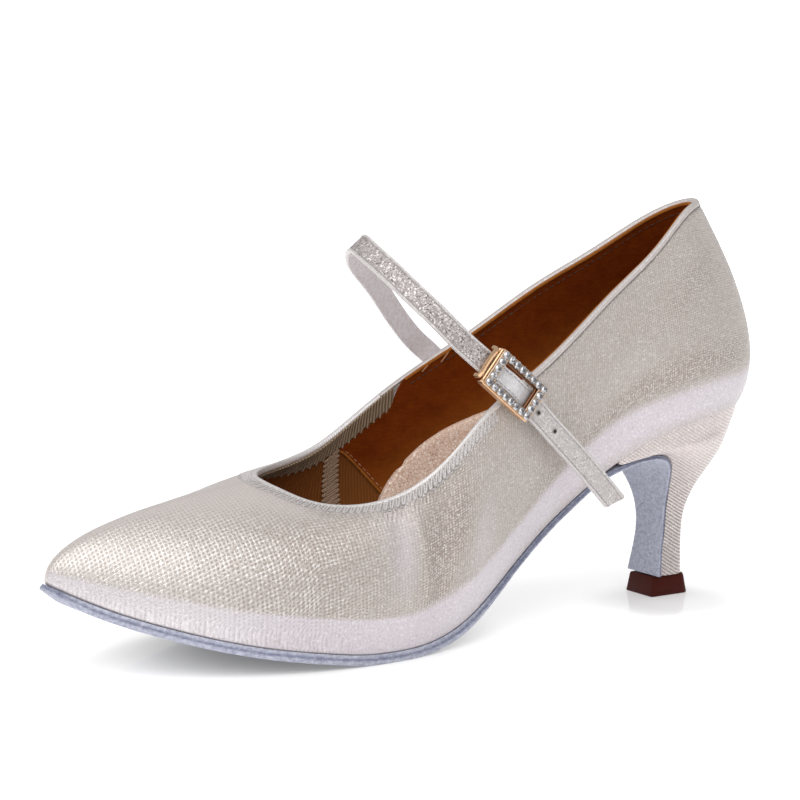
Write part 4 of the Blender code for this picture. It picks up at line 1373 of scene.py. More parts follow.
@dataclass
class Upper:
    """The lasted upper: mesh cloth with its creases, its rim turned under at the sole."""

    last: Last
    skin: Skin
    stations: int = 720
    outer_rows: int = 106
    inner_rows: int = 18
    top_below: float = 0.0011
    rim: float = 0.0003
    collar_end: float = 6.75
    square_from: float = 0.035
    cut_start: float = 0.095
    throat_front: float = 0.1485
    band_top: tuple[tuple[float, float], ...] = (
        (-20, 12), (20, 13), (50, 17.5), (90, 17.5), (120, 11.5), (160, 10.5), (185, 9), (205, 6.5),
        (218, 3.5),
    )

    def crease_height(self, x: Array, below: Array, side: Array) -> Array:
        """Sum of the creases: height exp(-(d / width)^2) by the distance d from each one's line.

        A crease fades over its first and last quarter and is half as wide at its lower end.
        """
        total = np.zeros(x.shape)
        place = np.stack([x / MM, below / MM], axis=-1)
        for crease in CREASES:
            start = np.array([crease.start_x, crease.start_below])
            line = np.array([crease.end_x, crease.end_below]) - start
            share = ((place - start) @ line) / (line @ line)
            foot = start + np.clip(share, 0, 1)[..., None] * line
            away = np.linalg.norm(place - foot, axis=-1)
            width = crease.width * (1 - 0.45 * np.clip(share, 0, 1))
            ends = smooth_step(-0.15, 0.22, share) * smooth_step(1.15, 0.7, share)
            total += crease.height * np.exp(-((away / width) ** 2)) * ends * (side * crease.side > 0)
        return total * MM

    def tones_and_painted_light(self, x: Array, below: Array, side: Array) -> Array:
        """Sum of the patches, mesh tone and painted light: strength exp(-(dx / reach)^2 - (dy / reach)^2) of
        each one's own side.
        """
        total = np.zeros(x.shape)
        for patch in MESH_TONE_AND_PAINTED_LIGHT:
            along = (x / MM - patch.x) / patch.reach_x
            down = (below / MM - patch.below) / patch.reach_below
            total += patch.strength * np.exp(-(along**2 + down**2)) * (side * patch.side > 0)
        return total

    def band(self, x: Array, foot: Array) -> Array:
        """The smooth band near the sole, whose paleness is a painted floor reflection, at heights foot over
        it: one below its top, and softly ended.
        """
        along, height = np.array(self.band_top).T
        top = np.interp(x / MM, along, height)
        soft = np.interp(x / MM, (100, 130, 218), (4.5, 1.6, 1.0))
        inside = smooth_step(0.5, -0.5, (foot / MM - top) / soft)
        hem = np.interp(x / MM, (60, 120), (0.45, 0.0)) * smooth_step(0.45, 0.0, foot / MM / top)
        return inside * (1 - hem)

    def weave_map(self, at: Array, below: Array, points: Array) -> Array:
        """Coordinates of the cloth's threads on the wall, in metres.

        Across: the distance along the shoe, unrolled down the toe's middle line in front and round the heel
        behind. Down: the distance from the middle line of the vamp, which on the quarters goes on from there.
        """
        x = points[..., 0]
        length = self.skin.length_at(at)[:, None]
        centre = self.last.curves(np.array([self.last.ribs / 2]), 181)[0, ::-1]
        unrolled = run_length(centre) + centre[0, 0]
        along = np.where(x > centre[0, 0], np.interp(x, centre[:, 0], unrolled), x)
        feather = self.last.outline(at)[0]
        forward = np.abs(np.gradient(feather[:, 0]))
        step = np.hypot(forward, np.gradient(feather[:, 1]))
        excess = np.where(feather[:, 0] < self.square_from, step - forward, 0.0)
        middle = len(at) // 2
        total = np.cumsum(excess)
        shift = np.where(np.arange(len(at)) < middle, total - total[middle], total[middle] - total)
        along = along + shift[:, None]
        stations = np.linspace(-0.2, 0.4, 1200)
        fine = np.interp(stations, (0.09, 0.15), (1.25, 0.84))
        run = np.cumsum(fine) * (stations[1] - stations[0])
        wide = np.interp(along, (0.09, 0.16), (1.4, 0.84))
        girth = self.girth(at, below, points, length)
        return np.stack([np.interp(along, stations, run), wide * girth], axis=-1)

    def girth(self, at: Array, below: Array, points: Array, length: Array) -> Array:
        """Distance from the vamp's middle line, along cuts square to the shoe.

        Each cut's run is added up rib by rib where the cut crosses them. Behind the ball the ribs stand so
        upright that the way up the rib is taken instead, and both are blended over a rib and a half.
        """
        ribs = np.linspace(7.2, self.last.ribs - 7.2, 545)
        cuts = np.linspace(self.cut_start, self.last.reach(0.0)[1] - 0.0002, 200)
        curves = self.last.curves(ribs, 161)[:, ::-1]
        x = np.maximum.accumulate(curves[..., 0], axis=1)
        offset = np.arange(len(ribs))[:, None]
        wanted = (np.clip(cuts[None, :], x[:, :1], x[:, -1:]) + offset).ravel()
        flat = (x + offset).ravel()
        crossed = [
            np.interp(wanted, flat, curves[..., axis].ravel()).reshape(len(ribs), -1) for axis in (1, 2)
        ]
        inside = (cuts[None, :] >= x[:, :1]) & (cuts[None, :] <= x[:, -1:])
        step = np.hypot(np.diff(crossed[0], axis=0), np.diff(crossed[1], axis=0))
        step = step * (inside[1:] | inside[:-1])
        total = np.concatenate([np.zeros((1, len(cuts))), np.cumsum(step, axis=0)])
        middle = len(ribs) // 2
        outer = at < self.last.ribs / 2
        from_feather = np.where((ribs < self.last.ribs / 2)[:, None], total, total[-1] - total)
        halves = np.stack([total[middle], total[-1] - total[middle]])
        first = int(np.argmax(cuts > self.throat_front))
        halves[:, :first] = halves[:, first : first + 1]
        row = np.clip((at - ribs[0]) / (ribs[1] - ribs[0]), 0, len(ribs) - 1.001)[:, None]
        column = np.clip((points[..., 0] - cuts[0]) / (cuts[1] - cuts[0]), 0, len(cuts) - 1.001)
        cut_run = blended(from_feather, row, column)
        from_toe = np.abs(at - self.last.ribs / 2)
        front = smooth_step(self.last.ribs / 2 - 8.2, self.last.ribs / 2 - 10.0, from_toe)[:, None]
        climbed = (length - below) * (1 - front) + cut_run * front
        outer_reach, inner_reach = (np.interp(points[..., 0], cuts, half) for half in halves)
        reach = np.where(outer[:, None], outer_reach, inner_reach)
        return np.where(outer[:, None], 1.0, -1.0) * (reach - climbed)

    def build(self, effects: Effects) -> None:
        """Makes the outer face with its creases, turns it under at the sole, and adds the inner face."""
        last, skin = self.last, self.skin
        at = np.linspace(0, last.ribs, self.stations + 1)
        length = skin.length_at(at)[:, None]
        share = np.linspace(0, 1, self.outer_rows)[None, :]
        below = self.top_below + (length - self.top_below) * share
        points, normals = skin.read(np.broadcast_to(at[:, None], below.shape), below)
        side = np.where(at < last.ribs / 2, 1.0, -1.0)[:, None]
        height = self.crease_height(points[..., 0], below, side)
        foot = length - below
        height = height * smooth_step(0.001, 0.010, foot)
        uneven = ripple(points[..., 0], below + side * 0.05, 0.030) * 0.00010
        height += uneven * smooth_step(0.001, 0.012, foot)
        height -= self.rim * smooth_step(0.0006, 0.0, foot) ** 2
        throat = smooth_step(self.collar_end - 0.2, self.collar_end + 0.5, np.minimum(at, last.ribs - at))
        height -= 0.00035 * smooth_step(0.0036, 0.0016, below) * (1 - throat[:, None])
        outer = points + normals * height[..., None]
        outer[..., 2] -= self.rim * smooth_step(0.0009, 0.0, foot)
        inner_share = np.linspace(1, 0, self.inner_rows)[None, :]
        inner_below = self.top_below + (length - self.top_below) * inner_share
        inner_points, inner_normals = skin.read(np.broadcast_to(at[:, None], inner_below.shape), inner_below)
        inner = inner_points - inner_normals * last.wall
        plan, outward = last.outline(at)
        rim = plan - last.wall * outward
        inner[:, 0] = np.column_stack([rim, last.feather_height(rim[:, 0]) - self.rim])
        grid = np.concatenate([outer, inner], axis=1)
        all_below = np.concatenate([below, inner_below], axis=1)
        weave = self.weave_map(at, all_below, np.concatenate([points, inner_points], axis=1))
        run = np.broadcast_to(last.top_run(at)[:, None], all_below.shape)
        maps = {"weave": weave, "edge": np.stack([run, all_below], axis=-1)}
        foot_all = length - all_below
        # Painted shade: a soft dark line over the band on the counter, added to the darker tone.
        counter_top = np.interp(grid[..., 0] / MM, (20, 95), (19.0, 20.0))
        shade_over_band = np.exp(-(((foot_all / MM - counter_top) / 4.5) ** 2)) * smooth_step(0.085, 0.06, grid[..., 0])
        tone = self.tones_and_painted_light(grid[..., 0], all_below, side) + 0.65 * shade_over_band
        masks = {
            "throat": spread(throat[:-1, None], all_below[:-1].shape),
            # stretched carries painted shade and smooth carries painted sheen, besides the mesh's own tone.
            "stretched": np.clip(tone, 0, 1)[:-1].copy(),
            "smooth": np.clip(-tone, 0, 1)[:-1].copy(),
            "band": self.band(grid[..., 0], foot_all)[:-1].copy(),
        }
        shell = grid_shell(grid[:-1], ring_rows=True, maps=maps, masks=masks)
        make_piece("upper_cloth", shell, MeshCloth().material(effects), ("upper",), radians(60))


@dataclass
class Topline:
    """Everything round the shoe's opening: binding, elastic with its zigzag, and their stitches."""

    last: Last
    skin: Skin
    collar_end: float = 6.75
    tooth_pitch: float = 0.00092
    tooth_top: float = 0.0018
    tooth_foot: float = 0.0049
    tooth_radius: float = 0.00033

    def banded(self, at: Array, rows: list[tuple[float, float]]) -> Shell:
        """A band round the edge: a closed profile of millimetres below the edge and out of the wall."""
        profile = np.array(rows) * MM
        below = np.broadcast_to(profile[:, 0], (len(at), len(profile)))
        out = np.broadcast_to(profile[:, 1], below.shape)
        places = np.broadcast_to(at[:, None], below.shape)
        grid = self.skin.lift(places, np.maximum(below, 0.0), out)
        up = np.minimum(below, 0.0)
        grid = grid + np.array([0.0, 0.0, 1.0]) * -up[..., None]
        run = self.last.top_run(at)
        across = np.append(run_length(profile), 0.0)
        across[-1] = across[-2] + 0.0005
        edge = np.stack(np.meshgrid(run, across, indexing="ij"), axis=-1)
        return grid_shell(grid, maps={"edge": edge})

    def build(self, effects: Effects) -> None:
        """Makes the collar's binding, the throat's elastic and the stitching of both."""
        end = self.collar_end
        ribs = self.last.ribs
        binding = [
            (1.75, 0.0), (1.65, 0.12), (1.3, 0.22), (0.8, 0.25), (0.35, 0.20), (0.1, 0.08), (-0.05, -0.15),
            (-0.12, -0.5), (-0.12, -1.0), (0.0, -1.45), (0.2, -1.75), (0.5, -1.85), (0.8, -1.75),
            (0.85, -1.4), (1.0, -0.9), (1.4, -0.4),
        ]
        shell = self.banded(np.linspace(-end, end, 430), binding)
        tape = TrimTape().material(effects)
        make_piece("collar_tape", shell, tape, ("collar_binding",), radians(70))
        elastic = [
            (1.7, -0.06), (1.6, 0.05), (1.3, 0.13), (0.7, 0.14), (0.25, 0.08), (0.0, -0.12), (-0.08, -0.5),
            (-0.05, -1.1), (0.12, -1.55), (0.5, -1.80), (1.3, -1.85), (1.4, -1.4), (1.5, -0.8), (1.65, -0.4),
        ]
        shell = self.banded(np.linspace(end + 0.02, ribs - end - 0.02, 420), elastic)
        band = TrimTape("elastic_tape", (0.72, 0.69, 0.68, 1.0), (0.42, 0.38, 0.37, 1.0), 0.0009)
        make_piece("throat_tape", shell, band.material(effects), ("throat_elastic",), radians(70))
        self.zigzag(end + 0.1, ribs - end - 0.1)
        self.stitches()

    def zigzag(self, start: float, stop: float) -> None:
        """Thick zigzag sewing: the depth is tanh of a sine of the run, so strokes are straight."""
        run_range = self.last.top_run(np.array([start, stop]))
        strokes = int((run_range[1] - run_range[0]) / self.tooth_pitch)
        share = np.linspace(0, strokes, strokes * 9)
        fine = np.linspace(start, stop, 900)
        at = np.interp(run_range[0] + share * self.tooth_pitch, self.last.top_run(fine), fine)
        wave = np.tanh(2.4 * np.sin(pi * share)) / np.tanh(2.4)
        middle = (self.tooth_top + self.tooth_foot) / 2
        below = middle + wave * (self.tooth_foot - self.tooth_top) / 2
        points, normals = self.skin.read(at, below)
        path = points + normals * 0.00010
        shell = tube_shell(path[None], normals[None], self.tooth_radius, 6, 0.6)
        yarn = Thread("teeth_thread", (0.72, 0.69, 0.685, 1.0), (0.42, 0.385, 0.375, 1.0), 0.0009)
        thread = yarn.material()
        make_piece("throat_teeth", shell, thread, (), radians(80))
        row = np.linspace(start, stop, 900)
        points, normals = self.skin.read(row, np.full(900, self.tooth_foot + 0.0007))
        shell = stitch_shell(points, normals, 2 * self.tooth_pitch, 1.3 * self.tooth_pitch, 0.00019)
        make_piece("throat_row", shell, thread)

    def stitches(self) -> None:
        """The stitched line just below the binding."""
        at = np.linspace(-self.collar_end + 0.1, self.collar_end - 0.1, 700)
        points, normals = self.skin.read(at, np.full(len(at), 0.0020))
        shell = stitch_shell(points, normals, 0.0019, 0.0015, 0.00014)
        thread = Thread("binding_thread", (0.30, 0.27, 0.26, 1.0), (0.16, 0.14, 0.135, 1.0)).material()
        make_piece("binding_stitches", shell, thread)


@dataclass
class Linings:
    """What shows inside: tan suede round the quarters, knit under the vamp, elastic and seams."""

    last: Last
    skin: Skin
    off: float = 0.0019
    thickness: float = 0.0006
    hem: float = 0.0012
    notch_drop: float = 0.0067
    front_place: float = 20.33
    front_lean: float = 1.57
    back_place: float = 7.67
    vamp_top: float = 0.0048
    elastic_ends: tuple[float, float] = (6.85, 21.5)
    elastic_top: float = 0.0007
    elastic_foot: float = 0.0062
    pad_ends: tuple[float, float] = (20.6, 25.2)

    def front_edge(self, depth: Array) -> Array:
        """Places of the quarter lining's front edge, which slants back as it goes down."""
        return self.front_place + self.front_lean * depth**0.8

    def edge_map(self, at: Array, below: Array) -> dict[str, Array]:
        """The map of the run along the topline and the way below it."""
        run = self.last.top_run(at.ravel()).reshape(at.shape)
        return {"edge": np.stack([run, below], axis=-1)}

    def sheet(
        self,
        name: str,
        at: Array,
        below: Array,
        material: bpy.types.Material,
        relief: Array | float = 0.0,
    ) -> None:
        """A lining sheet on the wall's inner side.

        Args:
            name: Name of the piece.
            at: Places counted in ribs, of shape (rows, columns).
            below: Distances below the topline.
            material: Its finish.
            relief: How far the face stands into the shoe.
        """
        near = self.skin.lift(at, below, -self.off)
        far = self.skin.lift(at, below, -(self.off + self.thickness) - relief)
        shell = slab_shell(far, near, self.edge_map(at, below))
        make_piece(name, shell, material, (), radians(60))

    def build(self, effects: Effects) -> None:
        """Makes the linings from the heel forwards, then the seams over them."""
        ribs = self.last.ribs
        down = np.linspace(0, 1, 46)[None, :]
        across = np.linspace(0, 1, 300)[:, None]
        # The notch behind the elastic lowers the top on both sides
        front = self.front_edge(down)
        at = front + (ribs + self.back_place - front) * across
        notch = smooth_step(21.72, 21.38, at)
        other_notch = smooth_step(ribs + 6.25, ribs + 6.6, at)
        top_edge = 0.0005 + self.notch_drop * notch + self.notch_drop * other_notch
        length = self.skin.length_at(at)
        below = top_edge + (length - self.hem - top_edge) * down
        fold = np.exp(-(((at - 21.45 - 0.35 * down) / 0.07) ** 2)) * smooth_step(0.1, 0.25, down) * 0.0006
        puff = ripple(at * 0.012, below, 0.02) * 0.00012
        self.sheet("quarter_lining", at, below, self.tan(effects), fold + puff)
        # Knit lining under the vamp, from one quarter lining to the other
        knit = Elastic("vamp_knit", (0.22, 0.075, 0.017, 1.0), (0.14, 0.045, 0.010, 1.0), 0.0011, 0.00008)
        vamp_at = np.broadcast_to(np.linspace(7.2, 21.6, 220)[:, None], (220, down.shape[1]))
        vamp_length = self.skin.length_at(vamp_at)
        vamp_below = self.vamp_top + (vamp_length - self.hem - self.vamp_top) * down
        near = self.skin.lift(vamp_at, vamp_below, -(self.off - 0.0001))
        far = self.skin.lift(vamp_at, vamp_below, -(self.off + 0.00015))
        shell = slab_shell(far, near, self.edge_map(vamp_at, vamp_below))
        make_piece("vamp_lining", shell, knit.material(effects), (), radians(60))
        self.inner_elastic(effects)
        self.seams(effects)

    def tan(self, effects: Effects) -> bpy.types.Material:
        """Tan suede of the quarters: dark near the topline as painted shade, warmer and lighter lower down.
        """
        suede = Suede("tan_suede", (0.125, 0.0175, 0.0010, 1.0), (0.20, 0.038, 0.0022, 1.0), 0.0005)
        graph = Surface(suede.material(effects))
        # Near the topline the suede keeps its dark colour as painted shade; from 14 to 45 mm below it, it is
        # mixed toward the lit tan.
        deep = graph.between(graph.split(graph.map_at("edge"))[1], 0.014, 0.045, 0.0, 0.6)
        base = graph.mix(deep, graph.feeding("Base Color"), (0.42, 0.15, 0.022, 1.0))
        return graph.finished(Base_Color=base)

    def inner_elastic(self, effects: Effects) -> None:
        """The elastic's inner face: ribs of a cosine of the run, with a zigzag foot."""
        run_ends = self.last.top_run(np.array(self.elastic_ends))
        fine = np.linspace(*self.elastic_ends, 900)
        run = np.linspace(run_ends[0], run_ends[1], 1500)
        at = np.interp(run, self.last.top_run(fine), fine)[:, None] + np.zeros((1, 12))
        pitch = 0.0026
        saw = np.abs(np.mod(run / pitch, 1.0) - 0.5)[:, None] * 2
        foot = self.elastic_foot + 0.0013 * saw
        below = self.elastic_top + (foot - self.elastic_top) * np.linspace(0, 1, 12)[None, :]
        rib = (0.5 + 0.5 * np.cos(2 * pi * run / 0.0013))[:, None] * 0.00022
        near = self.skin.lift(at, below, -0.00185)
        far = self.skin.lift(at, below, -(0.0023 + rib * np.ones((1, 12))))
        maps = {"edge": np.stack([run[:, None] + np.zeros((1, 12)), below], axis=-1)}
        cloth = Elastic("inner_elastic", (0.40, 0.30, 0.215, 1.0), (0.13, 0.080, 0.042, 1.0), 0.0013)
        shell = slab_shell(far, near, maps)
        make_piece("elastic_inside", shell, cloth.material(effects), (), radians(60))

    def line(self, at: Array, below: Array, off: float) -> tuple[Array, Array]:
        """A line on the inner side with its directions into the shoe."""
        points, normals = self.skin.read(at, below)
        return points - normals * off, -normals

    def cord(
        self,
        name: str,
        line: tuple[Array, Array],
        radius: float,
        sides: int,
        finish: bpy.types.Material,
        sharp: float = radians(80),
    ) -> None:
        """One round cord along a line with its directions."""
        points, inward = line
        make_piece(name, tube_shell(points[None], inward[None], radius, sides), finish, (), sharp)

    def seams(self, effects: Effects) -> None:
        """Sewing inside: the overlock seam, the lining's edge and the two stitches at its notch."""
        copper = Thread("copper_thread", (0.62, 0.25, 0.09, 1.0), (0.28, 0.09, 0.03, 1.0)).material()
        overlock = Thread("overlock_thread", (0.50, 0.33, 0.215, 1.0), (0.13, 0.065, 0.028, 1.0))
        pale = overlock.material()
        surface_off = self.off + self.thickness
        depth = np.linspace(0.02, 0.98, 200)
        places = self.front_edge(depth) + 0.05
        start_below = 0.0005 + self.notch_drop
        below = start_below + (self.skin.length_at(places) - self.hem - start_below) * depth
        points, inward = self.line(places, below, surface_off)
        shell = stitch_shell(points, inward, 0.0021, 0.0015, 0.00019)
        make_piece("lining_edge_stitches", shell, copper)
        roll = Suede("lining_edge", (0.24, 0.075, 0.012, 1.0), (0.42, 0.15, 0.03, 1.0)).material(effects)
        edge = self.line(places - 0.05, below, surface_off - 0.00015)
        self.cord("lining_edge_roll", edge, 0.00045, 8, roll)
        strokes = 44
        zig = np.linspace(0, strokes, strokes * 7)
        seam_below = 0.0070 + zig * 0.00085
        wave = np.tanh(1.8 * np.sin(pi * zig)) / np.tanh(1.8)
        seam_at = 20.2 + 0.0045 * zig + 0.155 * wave
        seam = self.line(seam_at, seam_below, self.off + 0.0003)
        self.cord("overlock_seam", seam, 0.00042, 6, pale)
        slants = ((22.42, 22.55, 0.0030, 0.0009), (22.06, 22.17, 0.0019, 0.0010))
        for number, (start, stop, low, high) in enumerate(slants):
            below = np.linspace(low, high, 8)
            bulge = 0.0004 * np.sin(np.linspace(0.15, 0.85, 8) * pi)
            stitch = self.line(np.linspace(start, stop, 8), below, surface_off + bulge[:, None])
            self.cord(f"notch_stitch_{number + 1}", stitch, 0.00026, 6, copper, sharp=radians(45))
        roll_places = np.linspace(21.74, self.last.ribs + 6.22, 600)
        top = self.line(roll_places, np.full(600, 0.00072), surface_off - 0.0001)
        self.cord("lining_top_roll", top, 0.00052, 8, roll)
        self.arch_pads(effects)
        top_places = np.linspace(21.8, self.last.ribs + 6.2, 900)
        points, inward = self.line(top_places, np.full(900, 0.0034), surface_off + 0.00005)
        shell = stitch_shell(points, inward, 0.0023, 0.0016, 0.00018)
        sunk = Thread("sunk_thread", (0.10, 0.030, 0.006, 1.0), (0.05, 0.014, 0.003, 1.0)).material()
        make_piece("lining_top_stitches", shell, sunk)

    def arch_pads(self, effects: Effects) -> None:
        """Soft pads that carry the sock's cloth up both sides of the waist, crowned over their height."""
        cloth = GlitterCloth(
            "pad_cloth",
            (0.66, 0.45, 0.34, 1.0),
            (0.92, 0.78, 0.68, 1.0),
            (0.44, 0.27, 0.18, 1.0),
            0.0004,
            0.15,
            0.00007,
        ).material(effects)
        table = np.array(
            [(20.6, 5), (20.9, 17), (21.22, 26.7), (21.55, 30.5), (22.0, 31.4), (22.72, 27.3), (23.35, 21.9),
             (24.2, 14), (25.2, 6)]
        )
        first, final = self.pad_ends
        places = np.linspace(first, final, 200)
        height = spline(table[:, 0], table[:, 1:], places)[:, 0] * MM
        share = np.linspace(0, 1, 30)[None, :]
        for name, at in (("inner", places), ("outer", self.last.ribs - places)):
            rows = np.broadcast_to(at[:, None], (200, 30))
            below = self.skin.length_at(rows) - 0.0006 - (height[:, None] - 0.0006) * (1 - share)
            crown = 0.0004 + 0.0022 * np.sqrt(np.clip(share * (2 - share), 0, 1))
            ends = smooth_step(first, first + 0.3, places) * smooth_step(final, final - 0.6, places)
            base_off = self.off + self.thickness - 0.0002
            far = self.skin.lift(rows, below, -(base_off + crown * ends[:, None]))
            near = self.skin.lift(rows, below, -(base_off - 0.0003))
            make_piece(f"arch_pad_{name}", slab_shell(far, near), cloth, (), radians(60))


@dataclass
class Bottom:
    """Suede sole with the part that runs down the heel's breast, and the padded sock inside."""

    last: Last
    skin: Skin
    tip_height: float = 0.0066
    thickness: float = 0.0030
    waist: float = 0.0018
    flap: float = 0.0014
    proud: float = 0.0006
    step: float = 0.0005
    join: float = 0.285
    lead: float = 0.320
    waist_end: float = 0.42
    ball_start: float = 0.52
    stations: int = 260
    flap_stations: int = 130
    sock: float = 0.0022

    def heel_height(self, share: Array | float) -> Array:
        """Height of a share of the way from the heel tip's top to the seat."""
        return self.tip_height + (self.last.seat_height - self.tip_height) * np.asarray(share, float)

    def breast(self) -> Array:
        """Points down the heel's breast in the shoe's middle plane."""
        along = self.last.place_along(column(HEEL, "breast_along"))
        return np.column_stack([along, self.heel_height(column(HEEL, "breast_height"))])

    def slope_normals(self, path: Array) -> Array:
        """Directions square to a path in the shoe's middle plane."""
        tangent = unit(np.gradient(path, axis=0))
        return np.column_stack([-tangent[:, 1], tangent[:, 0]])

    def breast_path(self, at: Array) -> Array:
        """Inner face of the sole from the waist down the heel's breast, with its half width."""
        last = self.last
        join = last.place_along(np.array([self.lead, self.join]))
        widths = last.side_widths(join, self.proud)[0]
        seam = np.column_stack([join, last.feather_height(join)])
        lead = np.column_stack([seam + last.gap * self.slope_normals(seam), widths])
        flaps = column(HEEL, "flap") * last.seat_width / 2
        points = np.vstack([lead, np.column_stack([self.breast(), flaps])])
        run = run_length(points[:, :2])
        return spline(run, points, at * (run[-1] - run[1]) + run[1])

    def section(self) -> Array:
        """Loop round the sole: shares of the half width, of the edge's step and of the thickness."""
        top = [(share, 0.0, 0.0) for share in np.linspace(-0.85, 0.85, 8)]
        edge = [
            (1.0, 1.0, 0.0), (1.0, 1.0, 0.20), (1.0, 0.95, 0.38), (1.0, 0.40, 0.45), (1.0, 0.02, 0.53),
            (1.0, -0.06, 0.66), (1.0, 0.0, 0.82), (1.0, 0.18, 0.92), (1.0, 0.55, 0.985), (0.985, 1.0, 1.0),
        ]
        bottom = [(share, 0.0, 1.0) for share in np.linspace(0.92, -0.92, 15)]
        mirrored = [(-a, b, d) for a, b, d in edge[::-1]]
        return np.array(top + edge + bottom + mirrored)

    def sole(self, effects: Effects) -> None:
        """The sole: its section carried along the feather edge, then down the breast of the heel."""
        last = self.last
        turn = np.linspace(0.004, pi / 2, self.stations)
        tip = last.reach(self.proud)[1]
        join = float(last.place_along(self.join))
        x = tip - (tip - join) * (1 - np.cos(turn))
        outer_y, inner_y = last.side_widths(x, self.proud)
        flap = self.breast_path(np.linspace(0, 1, self.flap_stations))
        seam = np.column_stack([x, last.feather_height(x)])
        path = np.vstack([seam + last.gap * self.slope_normals(seam), flap[1:, :2]])
        outer_y = np.concatenate([outer_y, flap[1:, 2]])
        inner_y = np.concatenate([inner_y, -flap[1:, 2]])
        along = (path[:, 0] + last.heel_to_back) / last.length
        run = run_length(path)
        thick = np.interp(along, (self.waist_end, self.ball_start), (self.waist, self.thickness))
        rear = smooth_step(-0.012, 0.004, run - run[self.stations - 1])
        thick = thick * (1 - rear) + self.flap * rear
        thick = thick * (1 - 0.42 * smooth_step(0.014, 0.0, run))
        flare = smooth_step(run[-1] - 0.010, run[-1], run)
        outer_y = outer_y + 0.0006 * flare
        inner_y = inner_y - 0.0004 * flare
        down = self.slope_normals(path)
        room = np.clip((outer_y - inner_y) / (8 * self.step), 0.0, 1.0) * self.step
        middle = (outer_y + inner_y) / 2
        half = (outer_y - inner_y) / 2
        across, stepped, depth = self.section().T
        y = middle[:, None] + half[:, None] * across - np.sign(across) * room[:, None] * stepped
        fuzz = ripple(path[:, :1] + 0 * y, y + path[:, 1:] * 1.7, 0.0035) * 0.00005
        slant = y * 0.9 + path[:, 1:] * 2.1 + depth * 0.01
        fuzz += ripple(path[:, :1] * 1.3 + 0 * y, slant, 0.0011) * 0.00004
        y = y + np.sign(across) * fuzz * (np.abs(across) > 0.97)
        deep = depth * thick[:, None] + fuzz * (depth > 0.9)
        points = np.stack(
            [path[:, :1] + down[:, :1] * deep, y, path[:, 1:] + down[:, 1:] * deep], axis=-1
        )
        points[..., 2] = np.maximum(points[..., 2], 0.0)
        side_face = smooth_step(0.94, 0.985, np.abs(across))[None, :]
        thin = smooth_step(0.0027, 0.0019, thick)[:, None]
        groove = np.exp(-(((depth - 0.44) / 0.13) ** 2))[None, :]
        rim = side_face * np.maximum(groove, thin * smooth_step(0.95, 0.55, depth)[None, :])
        shell = grid_shell(points, masks={"rim": rim.copy()})
        make_piece("sole_suede", shell, self.suede(effects), ("outsole",), radians(50))

    def suede(self, effects: Effects) -> bpy.types.Material:
        """Blue-grey suede, darker along the seam and lighter on the cut edge."""
        graph = surface("sole_nap", Roughness=0.92, Sheen_Weight=0.15, Specular_IOR_Level=0.2)
        place = graph.place()
        nap = graph.group(effects.nap, Vector=place, Fibre=0.0005, Blotch=0.0011)
        tone = graph.between(nap["Tone"], 0.36, 0.64)
        base = graph.mix(tone, (0.34, 0.355, 0.45, 1.0), (0.57, 0.585, 0.69, 1.0))
        fray = graph.fused(tone, -0.35, 0.95)
        base = graph.mix(graph.times(graph.mask("rim"), fray), base, (0.17, 0.185, 0.27, 1.0))
        bounced = graph.node("ShaderNodeLightPath").outputs["Is Diffuse Ray"]
        base = graph.mix(graph.times(bounced, 0.85), base, (0.35, 0.345, 0.34, 1.0))
        return graph.finished(Base_Color=base, Normal=graph.bump(nap["Height"], 0.0005))

    def insole(self, effects: Effects) -> None:
        """The sock: a thin pad crowned by the root of one less the sixth power of its share across."""
        last = self.last
        clear = -(last.wall + 0.0007)
        back, tip = last.reach(clear)
        turn = np.linspace(0.03, pi - 0.03, 240)
        first, final = back + 0.0001, tip - last.wall
        x = first + (final - first) * (0.5 - 0.5 * np.cos(turn))
        outer_y, inner_y = last.side_widths(x, clear)
        path = np.column_stack([x, last.feather_height(x)])
        up = self.slope_normals(path)
        middle = ((outer_y + inner_y) / 2)[:, None]
        half = ((outer_y - inner_y) / 2)[:, None]
        lean = np.linspace(-pi / 2, pi / 2, 49)
        share = np.sin(lean)[None, :]
        crown = self.sock * (0.55 + 0.45 * np.clip(1 - share**6, 0, 1) ** 0.5)
        crown = crown + ripple(x[:, None] + 0 * share, half * share, 0.03) * 0.00012
        lift = np.concatenate([np.broadcast_to(crown, (len(x), 49)), np.zeros((len(x), 49))], axis=1)
        y = np.concatenate([middle + half * share, middle + half * share[:, ::-1]], axis=1)
        points = np.stack([x[:, None] + up[:, :1] * lift, y, path[:, 1:] + up[:, 1:] * lift], axis=-1)
        sock = GlitterCloth(
            "sock_cloth",
            (0.66, 0.57, 0.57, 1.0),
            (0.98, 0.96, 0.96, 1.0),
            (0.34, 0.27, 0.27, 1.0),
            0.0005,
            0.45,
        )
        make_piece("sock", grid_shell(points), sock.material(effects), ("insole",), radians(60))

    def build(self, effects: Effects) -> None:
        """Makes the sole and the sock."""
        self.sole(effects)
        self.insole(effects)


